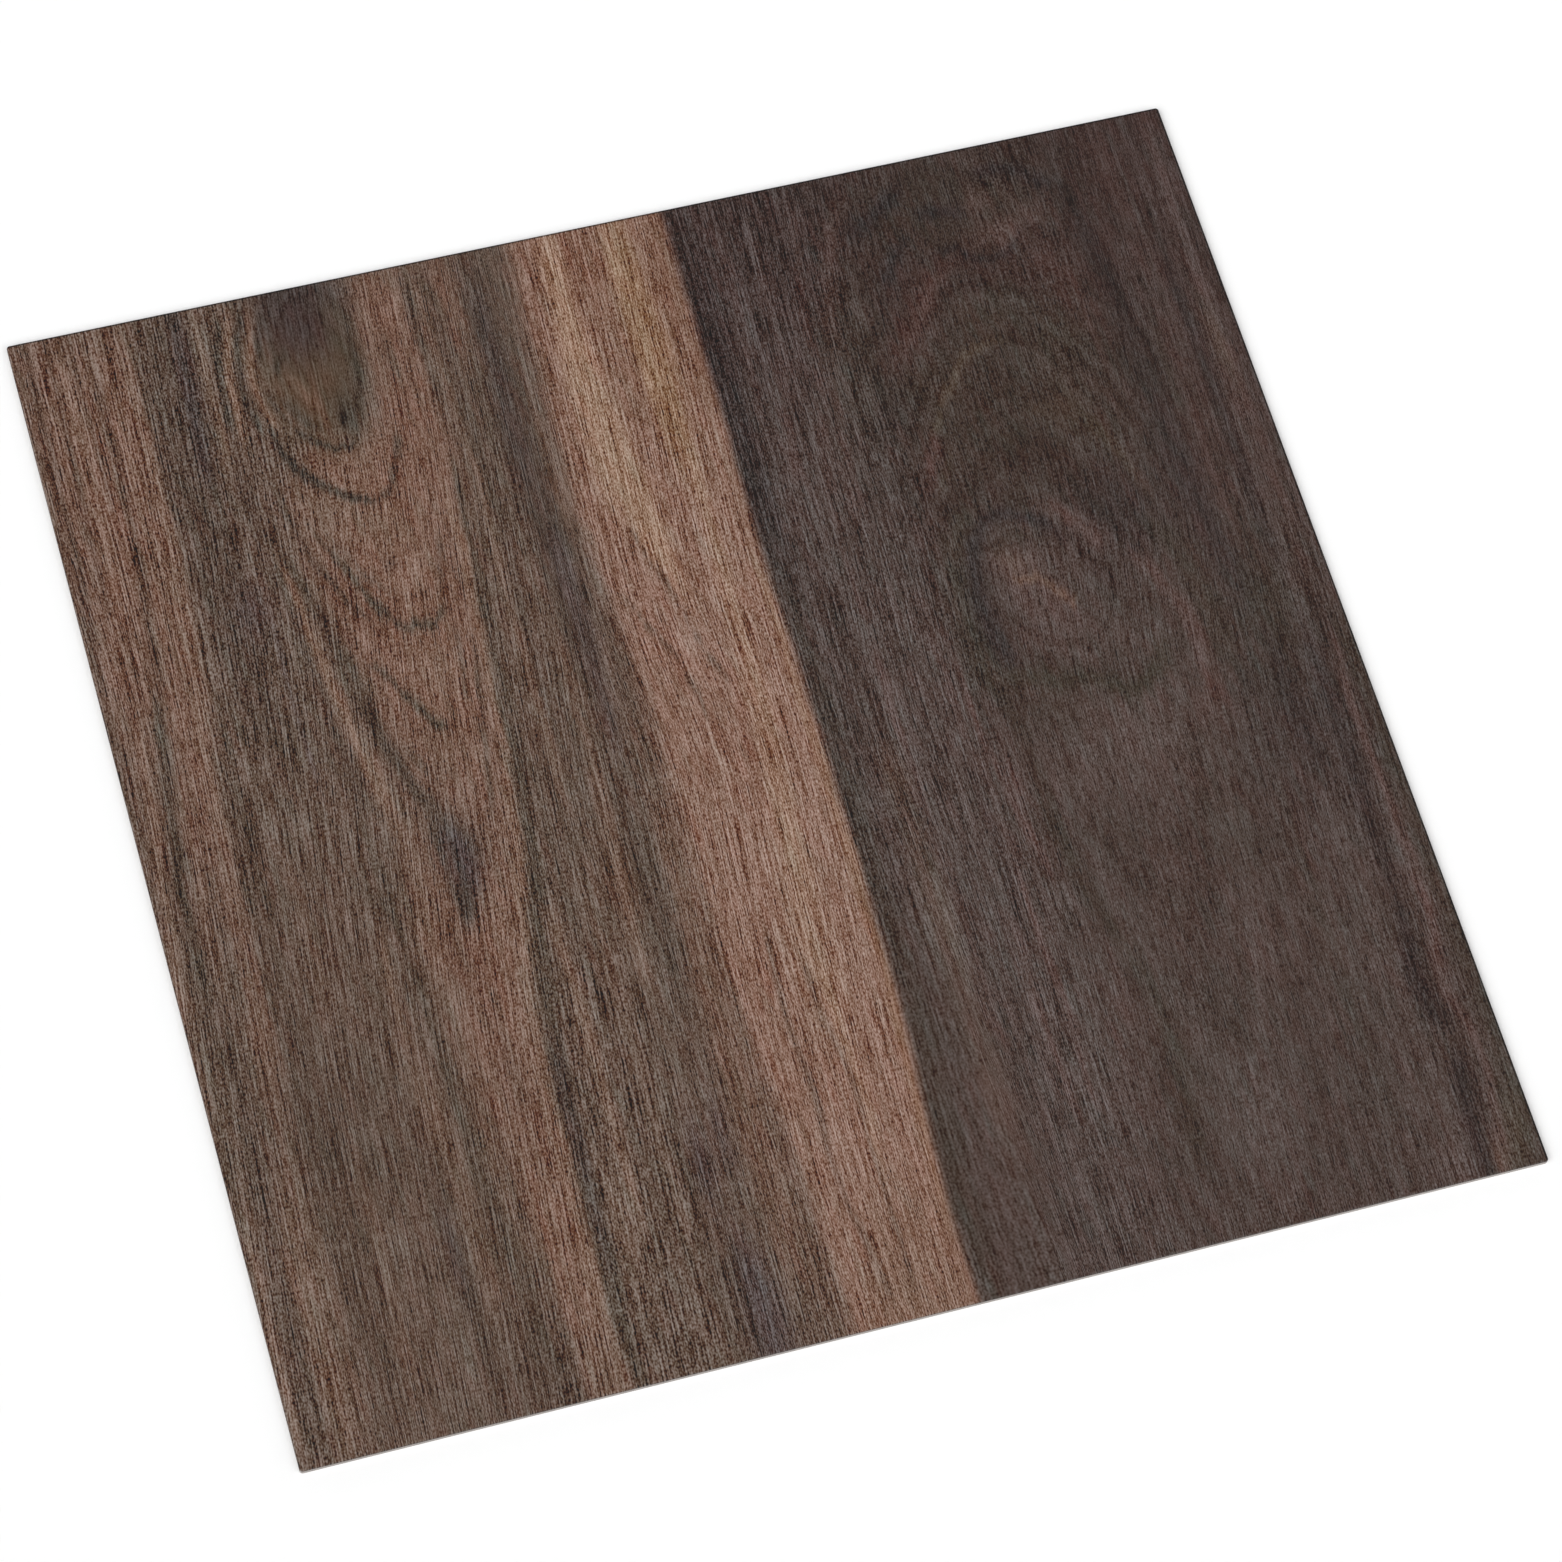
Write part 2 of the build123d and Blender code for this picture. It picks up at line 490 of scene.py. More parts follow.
# The small knot at the north edge
KNOT = (
    Smudge(Ink.WALNUT, 0.8, (58, 284), (7.5, 22), 8, 1.6),
    Smudge(Ink.KHAKI, 0.92, (70.5, 276), (12, 20), 6, 2.2),
    Smudge(Ink.MOSS, 0.14, (71, 282), (13, 20), 0, 1.6),
    Line(Ink.FAWN, 0.9, (
        (62.4, 304, 0.7), (58.8, 292, 0.8), (57.2, 281, 0.8), (58, 272, 0.7), (60.4, 264, 0.6),
    ), 6),
    Line(Ink.FAWN, 0.85, (
        (57, 304, 0.7), (54, 292, 0.8), (52, 281, 0.8), (51.2, 270, 0.7), (51.6, 260, 0.6),
    ), 8),
    Line(Ink.MOSS, 0.75, (
        (59.4, 304, 0.5), (56.4, 292, 0.6), (54.8, 281, 0.6), (54.6, 272, 0.6), (56.4, 262, 0.5),
    ), 6),
    Line(Ink.MOSS, 0.7, ((54.2, 304, 0.5), (51.2, 290, 0.7), (49.4, 278, 0.7), (48.4, 264, 0.6)), 8),
    Line(Ink.MOSS, 0.7, ((65, 302, 0.8), (61.2, 292, 0.8), (59.6, 283, 0.7)), 6),
    Smudge(Ink.SOOT, 0.75, (73.5, 299), (11, 13), 0, 1.8),
    Smudge(Ink.PLUM, 0.4, (72, 292), (8, 8), 0, 1.3),
    Line(Ink.OLIVE, 0.7, (
        (80.4, 303, 2.6), (81.8, 290, 2.8), (82, 278, 2.8), (80.6, 268, 2.6), (78.4, 261, 1.8),
    ), 9),
    Line(Ink.MOSS, 0.6, ((83.6, 292, 0.9), (83.6, 276, 1.0), (81.6, 264, 0.9)), 7),
    Line(Ink.MOSS, 0.85, ((67.6, 289, 0.9), (64.8, 285, 1.1), (62.8, 280.6, 1.0)), 4),
    Line(Ink.MOSS, 0.85, (
        (59.6, 279, 0.6), (61, 272.6, 0.8), (64, 267.6, 0.9), (66.6, 262, 0.9), (69.4, 258.6, 0.8),
        (73.4, 256.8, 0.8), (77, 257.6, 0.8), (79.6, 260, 0.7),
    ), 5),
    Line(Ink.MOSS, 0.6, ((61.6, 277, 0.7), (64.6, 272, 1.6), (68, 266, 1.3), (71, 261, 0.8)), 5),
    Line(Ink.HAZEL, 0.85, ((66, 283, 0.8), (68.4, 277, 1.3), (71.6, 270, 1.3), (73.4, 262, 0.9)), 5),
    Line(Ink.FAWN, 0.6, ((60, 276, 0.6), (63.4, 269.4, 0.6), (67, 262.6, 0.6)), 5),
    Smudge(Ink.OLIVE, 0.35, (71.6, 282), (3.4, 3.0)),
    Smudge(Ink.MOSS, 0.75, (78.4, 266), (3.4, 6), 8),
    Smudge(Ink.PITCH, 0.9, (76.6, 265.6), (1.1, 2.2), 0, 1.3),
    Smudge(Ink.OLIVE, 0.45, (92, 279), (1.6, 5)),
    Smudge(Ink.UMBER, 0.6, (48.2, 247), (2.2, 9), 0, 1.2),
)

# Brown ground east of the arches, up to the stripe
BETWEEN = (
    Band(Ink.BISTRE, 0.4, ((106, 310, 5), (105.6, 260, 5), (105.6, 200, 4)), 1.6, 40),
    Smudge(Ink.RUSSET, 0.65, (110.4, 291), (2.6, 13)),
    Band(Ink.UMBER, 0.5, ((101.4, 300, 0.8), (101.2, 262, 0.9))),
    Band(Ink.FAWN, 0.35, ((104.4, 302, 1.0), (104.6, 250, 1.1), (104, 200, 1.2), (103, 150, 1.0))),
    Band(Ink.UMBER, 0.5, ((107.2, 300, 1.0), (107.6, 250, 1.3), (106.8, 205, 1.3), (105.6, 165, 1.0))),
    Band(Ink.BISTRE, 0.5, ((110.6, 258, 1.6), (110.4, 225, 1.6))),
    Band(Ink.UMBER, 0.95, (
        (118.2, 306, 4.6), (117.8, 260, 5), (117.8, 220, 5), (118.6, 188, 4.0),
    ), 3.0, 40),
    Band(Ink.UMBER, 0.35, (
        (118.8, 200, 3.4), (117.8, 160, 3.2), (116.6, 120, 3.2), (115.4, 85, 2.6),
    ), 1.6, 40),
    Band(Ink.SOOT, 0.15, (
        (117.4, 302, 1.6), (117.4, 270, 2.6), (117.6, 238, 2.6), (119, 205, 2.0),
    ), 1.2, 30),
    Band(Ink.PLUM, 0.3, ((117.4, 292, 2.4), (116.6, 262, 2.6), (117, 236, 2.0))),
    Band(Ink.PLUM, 0.45, ((119, 220, 2.0), (119, 190, 2.4), (118.4, 160, 1.6))),
    Band(Ink.HAZEL, 0.45, ((123.4, 262, 1.0), (123.8, 220, 0.9))),
    Band(Ink.BISTRE, 0.75, ((124.4, 310, 4.2), (124, 285, 3.4), (124, 258, 2.0)), 1.6),
    Band(Ink.FAWN, 0.28, (
        (112.8, 192, 0.9), (112, 172, 1.4), (110.8, 148, 1.5), (109.8, 120, 1.2), (109, 96, 1.0),
    )),
    Band(Ink.UMBER, 0.5, ((109.4, 186, 0.9), (107.8, 150, 1.0), (106, 112, 1.0))),
    Band(Ink.FAWN, 0.6, ((91, 122, 1.6), (91.6, 80, 1.6), (91, 40, 1.2))),
    Band(Ink.BISTRE, 0.5, ((96.6, 140, 1.2), (97, 90, 1.4), (97, 40, 1.4))),
    Band(Ink.HAZEL, 0.3, ((101.4, 125, 1.4), (101.4, 80, 1.4), (100.4, 30, 1.4))),
    Band(Ink.BISTRE, 0.5, ((106, 125, 2.0), (104.8, 60, 2.2), (104.6, 5, 2.2)), 1.4, 30),
    Band(Ink.MOSS, 0.25, ((115.6, 146, 2.4), (115, 118, 3.4), (114.8, 92, 2.6)), 1.2, 24),
    Band(Ink.SORREL, 0.5, (
        (125, 150, 2.0), (124, 110, 3.2), (123.4, 70, 4.0), (124, 30, 4.4), (125, -5, 4.4),
    ), 1.6, 50),
    Smudge(Ink.PLUM, 0.85, (113, 10), (4.8, 19), 0, 1.8),
    Smudge(Ink.UMBER, 0.5, (107, 14), (3.4, 22)),
    Smudge(Ink.UMBER, 0.3, (114, 80), (3.0, 13)),
    Smudge(Ink.UMBER, 0.5, (122, 5), (5, 12)),
    Smudge(Ink.FAWN, 0.45, (109, 122), (3.2, 15)),
    Smudge(Ink.PLUM, 0.7, (109.6, 50), (2.4, 9)),
    Smudge(Ink.PLUM, 0.5, (115.6, 56), (1.6, 9)),
)

# The pale stripe of sapwood
SAPWOOD = (
    Band(Ink.SORREL, 0.3, ((130.4, 306, 2.4), (130.4, 250, 2.6), (130.4, 215, 2.2), (129, 180, 2.2))),
    Band(Ink.RUSSET, 0.8, (
        (129, 312, 5.4), (128.8, 290, 5.2), (128.6, 270, 4.6), (127.6, 248, 3.0),
    ), 1.8, 24),
    Band(Ink.CREAM, 0.72, (
        (139, 306, 3.0), (138.8, 276, 3.8), (139.2, 252, 4.7), (140.6, 230, 4.9), (143.2, 212, 3.6),
        (145.6, 199, 2.2),
    ), 1.4, 26),
    Band(Ink.CREAM, 0.25, ((134.4, 245, 1.4), (135.6, 222, 1.6))),
    Band(Ink.SORREL, 0.75, ((147.8, 308, 3.6), (148.4, 275, 3.2), (149.2, 246, 2.0)), 1.4),
    Band(Ink.HONEY, 0.8, (
        (157.2, 306, 3.4), (157.2, 280, 4.3), (156.8, 255, 4.1), (156.6, 232, 3.2),
    ), 1.6, 30),
    Band(Ink.CREAM, 0.48, (
        (158, 240, 1.4), (157.4, 205, 2.2), (156.4, 165, 2.6), (154, 135, 3.2), (151.6, 110, 2.4),
    ), 1.2, 30),
    Smudge(Ink.SORREL, 0.15, (136, 116), (10, 40), 0, 1.6),
    Smudge(Ink.SORREL, 0.7, (146, 0), (20, 19), 0, 2),
    Smudge(Ink.CREAM, 0.35, (150, 96), (4.5, 24), 0, 1.2),
    Smudge(Ink.BLUSH, 0.6, (131, 42), (3.6, 13)),
    Band(Ink.BLUSH, 0.45, ((146, 165, 3), (142, 140, 5), (141, 115, 6), (140, 90, 5)), 1.4, 40),
    Band(Ink.BLUSH, 0.5, (
        (163.5, 240, 2), (163, 190, 2.2), (162.5, 140, 3), (161, 100, 3.4), (159, 60, 3),
    )),
    Band(Ink.FAWN, 0.3, ((135, 176, 3.4), (134.6, 150, 3.6)), 1.4, 24),
    Band(Ink.FAWN, 0.55, ((148, 40, 9), (148, -5, 13)), 1.6, 44),
    Band(Ink.CREAM, 0.35, ((150, 95, 1.2), (151, 65, 1.6), (150, 40, 1.2))),
    Band(Ink.SORREL, 0.95, (
        (165.4, 310, 3.8), (165, 285, 3.4), (164.4, 262, 2.2), (164.4, 235, 1.2),
    ), 1.4, 30),
    Band(Ink.SORREL, 0.6, ((167.4, 306, 2.2), (167.2, 240, 2.0), (166.4, 200, 1.4))),
    Band(Ink.SORREL, 0.5, ((161, 300, 0.7), (160.8, 250, 0.8), (160.4, 205, 0.7))),
    Band(Ink.SORREL, 0.4, ((153, 306, 0.7), (152.6, 272, 0.8), (152.2, 244, 0.8), (153, 220, 0.7))),
    Band(Ink.SORREL, 0.4, ((144, 304, 0.8), (144.4, 278, 0.9), (146, 250, 0.8))),
    Line(Ink.BISTRE, 0.6, (
        (129.4, 203, 0.35), (131.6, 197, 0.45), (135.4, 188, 0.5), (139.4, 178, 0.5), (142, 169, 0.5),
        (143.4, 160, 0.4),
    ), 7),
    Line(Ink.BISTRE, 0.6, (
        (136.4, 220, 0.35), (139, 213, 0.45), (142.4, 202, 0.5), (145.4, 190, 0.5), (148.4, 179, 0.5),
        (151.4, 168, 0.4),
    ), 7),
    Line(Ink.SORREL, 0.68, ((145.6, 214, 0.5), (148.4, 204, 0.6), (151, 192, 0.6), (153.4, 182, 0.5)), 7),
    Line(Ink.SORREL, 0.81, ((127.6, 185, 0.6), (131, 178, 0.6), (134.4, 168, 0.6), (135.6, 158, 0.5)), 6),
    Line(Ink.SORREL, 0.74, ((127, 174, 0.6), (129.6, 169, 0.7), (131.4, 162, 0.7), (131.6, 155, 0.5)), 5),
    Line(Ink.SORREL, 0.68, ((133, 186, 0.5), (136.6, 176, 0.6), (139, 166, 0.6)), 5),
    Line(Ink.BISTRE, 0.54, (
        (142.4, 108, 0.5), (140, 96, 0.6), (138.6, 82, 0.6), (139.2, 60, 0.7), (138.6, 42, 0.7),
        (140.6, 20, 0.7), (143, 4, 0.6),
    ), 9),
    Line(Ink.BISTRE, 0.47, (
        (146.8, 96, 0.5), (147.6, 78, 0.6), (149, 56, 0.6), (148.4, 32, 0.6), (149.4, 6, 0.6),
    ), 9),
    Line(Ink.SORREL, 0.61, ((134.2, 96, 0.7), (135.4, 70, 0.8), (134.6, 44, 0.8), (136, 14, 0.8)), 10),
    Band(Ink.HONEY, 0.35, (
        (166.6, 200, 0.9), (166, 150, 0.9), (165.4, 100, 0.9), (163.6, 60, 0.9), (161.4, 20, 0.9),
    )),
)

# Long streaks of the dark heartwood board
HEART_STREAKS = (
    Band(Ink.MAUVE, 0.55, (
        (190, 250, 11), (190, 190, 13), (192, 120, 15), (198, 70, 19), (196, 15, 17),
    ), 1.8, 60),
    Band(Ink.SOOT, 0.55, (
        (174.2, 290, 3.0), (173.4, 260, 3.0), (172.4, 220, 2.8), (171.6, 185, 2.4),
    ), 1.8, 50),
    Band(Ink.MOSS, 0.5, (
        (171.4, 200, 2.4), (170.8, 150, 2.4), (170, 100, 2.4), (168.4, 60, 2.6), (166.4, 25, 2.8),
        (165.6, -5, 2.6),
    ), 1.4, 40),
    Smudge(Ink.MAUVE, 0.7, (181.4, 54), (7, 44), 0, 1.4),
    Smudge(Ink.WALNUT, 0.65, (182, 98), (3.0, 30)),
    Smudge(Ink.WALNUT, 0.3, (182, 50), (2.6, 14)),
    Band(Ink.ROSEWOOD, 0.55, (
        (215, 296, 2.0), (209, 282, 2.2), (203.6, 262, 1.8), (200, 245, 1.5), (195.4, 225, 1.4),
        (193, 205, 1.3),
    ), 1.2, 24),
    Band(Ink.ROSEWOOD, 0.4, (
        (203, 300, 1.0), (199, 270, 1.2), (195.4, 245, 1.2), (190.6, 222, 1.2), (188, 200, 1.1),
    )),
    Band(Ink.ROSEWOOD, 0.35, ((192, 296, 1.1), (189, 262, 1.2), (185, 235, 1.3), (181.4, 212, 1.2))),
    Band(Ink.ROSEWOOD, 0.3, ((181.4, 296, 1.0), (180.4, 262, 1.1), (178.4, 232, 1.1))),
    Band(Ink.RAISIN, 0.6, ((211.4, 284, 0.8), (206.4, 266, 0.9), (203, 250, 0.9), (199, 232, 0.8))),
    Band(Ink.ROSEWOOD, 0.4, ((187.4, 196, 0.9), (187, 150, 1.1), (188, 100, 1.1), (187, 60, 1.0))),
    Band(Ink.ROSEWOOD, 0.45, ((203.4, 176, 0.8), (203, 140, 1.0), (204.6, 110, 1.0))),
    Band(Ink.ROSEWOOD, 0.8, ((207.6, 168, 0.7), (207.4, 140, 1.0), (209.6, 118, 1.1), (211.8, 100, 0.8))),
    Band(Ink.ROSEWOOD, 0.65, ((211.6, 148, 0.8), (212.2, 120, 0.9))),
    Band(Ink.MAUVE, 0.5, ((198, 175, 1), (197.4, 140, 1.2), (199.6, 115, 1.1))),
    Band(Ink.RAISIN, 0.45, ((201, 132, 1.1), (202, 105, 1.2), (200.5, 85, 1.1))),
    Band(Ink.ROSEWOOD, 0.85, ((203.7, 106, 0.6), (204.6, 70, 0.8), (204.6, 42, 0.7))),
    Band(Ink.ROSEWOOD, 0.9, ((198, 92, 0.7), (198, 75, 1.0), (199, 42, 0.8))),
    Band(Ink.ROSEWOOD, 0.4, ((181.3, 120, 0.7), (182, 70, 0.9), (183.5, 28, 0.8))),
    Band(Ink.MAUVE, 0.45, ((221, 100, 1.2), (225.4, 72, 1.6), (226, 52, 1.4))),
    Line(Ink.MOSS, 0.6, (
        (216, 158, 1.4), (216.4, 130, 1.6), (217, 104, 1.8), (221.4, 86, 1.8), (226, 68, 1.6),
        (227, 50, 2.2), (225, 32, 2.4), (222, 12, 2.4),
    ), 16),
    Smudge(Ink.KHAKI, 0.35, (182.4, 136), (2.8, 6)),
    Band(Ink.SOOT, 0.6, (
        (272, 292, 1.4), (275.4, 262, 2.2), (276.4, 235, 3.8), (277.6, 205, 4.4), (280, 180, 3.4),
        (282, 156, 2.4),
    ), 1.1, 30),
    Band(Ink.RAISIN, 0.8, ((281, 306, 1.6), (281, 270, 1.4))),
    Band(Ink.ROSEWOOD, 0.25, (
        (286, 300, 3), (287, 262, 2.6), (287, 235, 2.2), (286.5, 205, 2), (285, 180, 1.6),
    )),
    Band(Ink.MOSS, 0.5, ((283.4, 244, 0.8), (283, 214, 0.9))),
    Band(Ink.SOOT, 0.5, ((292.6, 260, 1.4), (292.8, 210, 1.6), (292.5, 165, 2.0))),
    Band(Ink.ROSEWOOD, 0.3, ((299.5, 306, 1.6), (299.5, 250, 2.2), (299, 205, 2.2), (299.5, 165, 2))),
    Smudge(Ink.SOOT, 0.3, (285, 128), (15, 30), 0, 1.5),
    Smudge(Ink.MOSS, 0.6, (286, 158), (6, 16), -10),
    Band(Ink.SOOT, 0.4, ((283.4, 150, 1.2), (284, 132, 2.6), (285.4, 112, 1.8))),
    Band(Ink.SOOT, 0.45, ((293.4, 150, 2.0), (293.6, 125, 2.6), (292.6, 96, 2.0), (292.8, 74, 1.4))),
    Band(Ink.ROSEWOOD, 0.8, (
        (299.4, 142, 0.8), (298.6, 118, 1.1), (299, 92, 1.4), (298.6, 68, 1.3), (296, 50, 1.0),
        (297.4, 38, 1.1), (299.2, 30, 1.3), (296.6, 16, 1.4), (293.6, -2, 1.8),
    )),
    Line(Ink.SOOT, 0.7, (
        (293, 76, 1.2), (291.4, 64, 1.8), (289.6, 52, 2.4), (291, 43, 2.2), (294.4, 36, 1.2),
    ), 7),
    Line(Ink.SOOT, 0.7, ((294, 34, 1.2), (291.6, 24, 2.2), (289.4, 12, 2.2), (288.4, -4, 2.0)), 7),
    Band(Ink.MOSS, 0.6, (
        (303.6, 150, 1.6), (303.4, 110, 1.6), (303.5, 60, 2.2), (303, 25, 2.8), (301, 0, 4),
    )),
    Smudge(Ink.OLIVE, 0.6, (299.5, 8), (3.0, 12), -14),
    Smudge(Ink.ROSEWOOD, 0.5, (284, 6), (3.4, 11)),
    Smudge(Ink.SALMON, 0.3, (293.4, 2), (1.6, 4)),
    Smudge(Ink.KHAKI, 0.35, (298.8, 232), (1.4, 10)),
    Band(Ink.MAUVE, 0.4, ((273.5, 115, 1.0), (274, 80, 1.2), (275, 45, 1.0))),
    Band(Ink.MAUVE, 0.4, ((283, 105, 3.4), (282, 60, 4), (282, 5, 4)), 1.5, 30),
)

# Soft clouds of the heartwood south of its ovals
LOWER_CLOUDS = (
    Smudge(Ink.MAUVE, 0.7, (241, 130), (22, 14), 0, 2.0),
    Smudge(Ink.ROSEWOOD, 0.3, (240.4, 133), (4, 12)),
    Smudge(Ink.MAUVE, 0.4, (261, 138), (7, 14), -10),
    Smudge(Ink.MAUVE, 0.5, (225, 121), (5, 8)),
    Smudge(Ink.MOSS, 0.2, (228, 106), (10, 5), 0, 1.2),
    Smudge(Ink.MOSS, 0.3, (259, 102), (5.4, 15), 0, 1.2),
    Smudge(Ink.MOSS, 0.12, (246, 55), (11, 10), 0, 1.0),
    Smudge(Ink.MOSS, 0.12, (229, 40), (4, 26)),
    Smudge(Ink.MOSS, 0.3, (272, 64), (2.6, 42), 0, 1.2),
    Smudge(Ink.MAUVE, 0.45, (236, 86), (8, 12), 0, 1.2),
    Smudge(Ink.MAUVE, 0.4, (238, 30), (7, 13), 0, 1.2),
    Smudge(Ink.ROSEWOOD, 0.3, (256, 72), (5, 12)),
    Smudge(Ink.ROSEWOOD, 0.3, (217, 62), (5, 16)),
)

# The heartwood's ovals and the waves above them
HEART_OVALS = (
    Smudge(Ink.MOSS, 0.55, (206, 252), (6.5, 22), -14, 1.4),
    Smudge(Ink.MOSS, 0.5, (242, 230), (33, 29), 0, 2.0),
    Smudge(Ink.MOSS, 0.5, (243, 290), (26, 15), 0, 1.8),
    Smudge(Ink.SOOT, 0.25, (213, 235), (4, 7), -20),
    Smudge(Ink.MOSS, 0.5, (220, 241), (6, 6)),
    Line(Ink.SOOT, 0.95, (
        (213, 282, 1.8), (217.4, 287, 2.6), (222.6, 290, 2.4), (228, 294.6, 2.2), (233, 301, 1.8),
    ), 8),
    Line(Ink.SOOT, 0.95, ((232, 286, 1.4), (237, 288.6, 2.0), (242, 288, 1.8), (247, 284.6, 1.4)), 5),
    Line(Ink.SOOT, 0.9, (
        (248, 298.6, 1.4), (254, 297, 1.8), (261, 296.6, 1.8), (267, 291, 1.6), (273, 285, 1.8),
    ), 7),
    Line(Ink.SOOT, 0.85, ((219, 268, 1.0), (221.4, 273.6, 1.7), (225.6, 278, 1.6), (230, 282.6, 1.2)), 5),
    Line(Ink.SOOT, 0.95, (
        (233, 273.6, 0.8), (237.4, 276, 0.9), (242, 275, 0.8), (246.4, 271.6, 0.9), (251.6, 270.6, 0.9),
        (256, 275, 0.8), (261, 278.6, 1.0), (266, 276, 0.8),
    ), 5),
    Line(Ink.GARNET, 0.8, (
        (212.6, 243, 2.6), (218.6, 251, 3.8), (225, 260, 4.0), (231.6, 268, 3.0), (238, 272, 2.0),
        (244, 268.4, 1.8),
    ), 8),
    Line(Ink.ROSEWOOD, 0.5, (
        (217, 248, 1.2), (223.6, 256, 1.4), (230, 264.4, 1.4), (236.6, 271, 1.2),
    ), 6),
    Smudge(Ink.ROSEWOOD, 0.7, (256, 279.6), (8.4, 4.4), 12, 1.3),
    Smudge(Ink.ROSEWOOD, 0.65, (250.6, 289), (4.0, 2.6)),
    Smudge(Ink.GARNET, 0.7, (265, 262), (4.4, 13), 8, 1.3),
    Smudge(Ink.GARNET, 0.5, (254, 266), (5, 3.4)),
    Line(Ink.RAISIN, 0.4, ((239, 267.6, 0.7), (244, 263.4, 0.9), (249, 260.8, 0.8)), 4),
    Smudge(Ink.MOSS, 0.6, (243, 257), (8.6, 5.4), 0, 1.4),
    Smudge(Ink.MOSS, 0.5, (258, 246), (6, 8), 0, 1.3),
    Line(Ink.OLIVE, 0.8, (
        (216.6, 222, 0.8), (222.4, 229.6, 1.1), (228.6, 238.6, 1.2), (235.4, 246.6, 1.2),
        (242, 249, 1.2), (248, 246.4, 0.9),
    ), 7),
    Line(Ink.COCOA, 0.6, (
        (208, 148, 0.9), (207.6, 170, 0.9), (208.8, 186, 1.0), (211.4, 199, 1.1), (215.4, 210, 1.1),
    ), 12),
    Line(Ink.GARNET, 0.85, ((212.6, 206, 1.2), (215.4, 215, 1.9), (220, 226, 1.4)), 5),
    Line(Ink.ROSEWOOD, 0.35, ((213.6, 208, 0.6), (216.2, 216, 0.9), (219.6, 224, 0.7)), 4),
    Line(Ink.OLIVE, 0.4, ((215.6, 205, 0.8), (219.4, 214, 0.9), (224, 222, 0.8)), 6),
    Smudge(Ink.PITCH, 0.35, (240.4, 215.4), (7.0, 7.0), 0, 1.2),
    Smudge(Ink.GARNET, 0.35, (240, 212), (6.0, 4.6)),
    Smudge(Ink.MOSS, 0.5, (237.6, 220.4), (3.4, 2.0)),
    Smudge(Ink.UMBER, 0.45, (247.6, 226), (3.0, 2.2)),
    Smudge(Ink.OLIVE, 0.4, (254.6, 225), (3.6, 6)),
    Line(Ink.OLIVE, 0.6, ((256, 226, 0.9), (261.6, 214, 1.3), (265.4, 203, 1.1), (268.6, 192, 0.9)), 9),
    Line(Ink.RAISIN, 0.5, ((221, 203, 1.2), (228, 206, 1.8), (236, 205, 1.6)), 6),
    Smudge(Ink.SOOT, 0.45, (258, 194), (11, 13), 30, 1.3),
    Line(Ink.MOSS, 0.8, (
        (215, 146, 2.4), (213, 160, 3.2), (212.8, 176, 3.2), (215, 190, 3.0), (220, 199, 2.4),
        (227, 204, 1.8),
    ), 10),
    Line(Ink.SOOT, 0.85, (
        (220.6, 153, 1.8), (218, 164, 2.2), (217.4, 178, 2.2), (220, 190, 1.9), (226, 197.4, 1.7),
        (233, 198.6, 1.5), (239.4, 193.6, 1.2), (243, 186, 1.0),
    ), 8),
    Line(Ink.MOSS, 0.5, ((224.4, 184, 1.0), (228, 190.6, 1.4), (233, 193, 1.4), (238, 190, 1.2)), 5),
    Line(Ink.ROSEWOOD, 0.75, (
        (237.4, 201, 1.4), (243.6, 196.4, 1.9), (249.6, 189.6, 2.1), (254, 182.4, 1.8),
    ), 6),
    Smudge(Ink.ROSEWOOD, 0.55, (231.8, 177.6), (6.8, 11), 16, 1.6),
    Smudge(Ink.ROSEWOOD, 0.35, (229, 163), (6.0, 4.0)),
    Smudge(Ink.SALMON, 0.3, (228.6, 185), (2.6, 2.6)),
    Line(Ink.HAZEL, 0.7, (
        (225.4, 179.6, 0.9), (229.6, 180.4, 1.0), (234, 177.6, 1.0), (237.6, 173.4, 1.0),
        (240.4, 169.6, 0.8),
    ), 4),
    Line(Ink.RAISIN, 0.6, (
        (244, 190, 0.9), (246.6, 182, 1.1), (250.6, 174.6, 1.6), (253.4, 167.6, 1.0),
    ), 6),
    Line(Ink.RAISIN, 0.4, ((223.4, 168, 0.8), (228, 166, 0.9), (234, 166.6, 0.8)), 4),
    Smudge(Ink.MAUVE, 0.75, (248.6, 158.6), (6.2, 8.6), 12, 1.6),
    Smudge(Ink.MAUVE, 0.5, (236, 158), (6.5, 5.5), 0, 1.3),
    Line(Ink.MOSS, 1.0, (
        (216.4, 160, 1.8), (220, 154.4, 2.4), (226, 151.6, 2.6), (233, 151, 2.2), (240, 147.6, 2.2),
        (247, 143.6, 2.4), (253, 145.6, 2.0), (256.6, 151, 1.7), (257.6, 159, 1.3),
    ), 7),
    Smudge(Ink.MOSS, 0.4, (226.4, 144.6), (6.6, 5.4)),
    Line(Ink.ROSEWOOD, 0.65, (
        (256, 184, 1.4), (261, 175, 1.9), (265.6, 165, 2.1), (267.6, 153, 2.1), (266, 141, 2.3),
        (262, 130, 2.8),
    ), 10),
    Line(Ink.MOSS, 0.6, ((263.6, 194, 2.4), (269, 180, 2.8), (272.6, 162, 2.8), (272.6, 142, 2.6)), 10),
)
WEST_BOARD = RED_BANDS + BROWN_GROUND + ARCH_GROUND + KNOT + FLANK_LINES + ARCH_LINES + BETWEEN
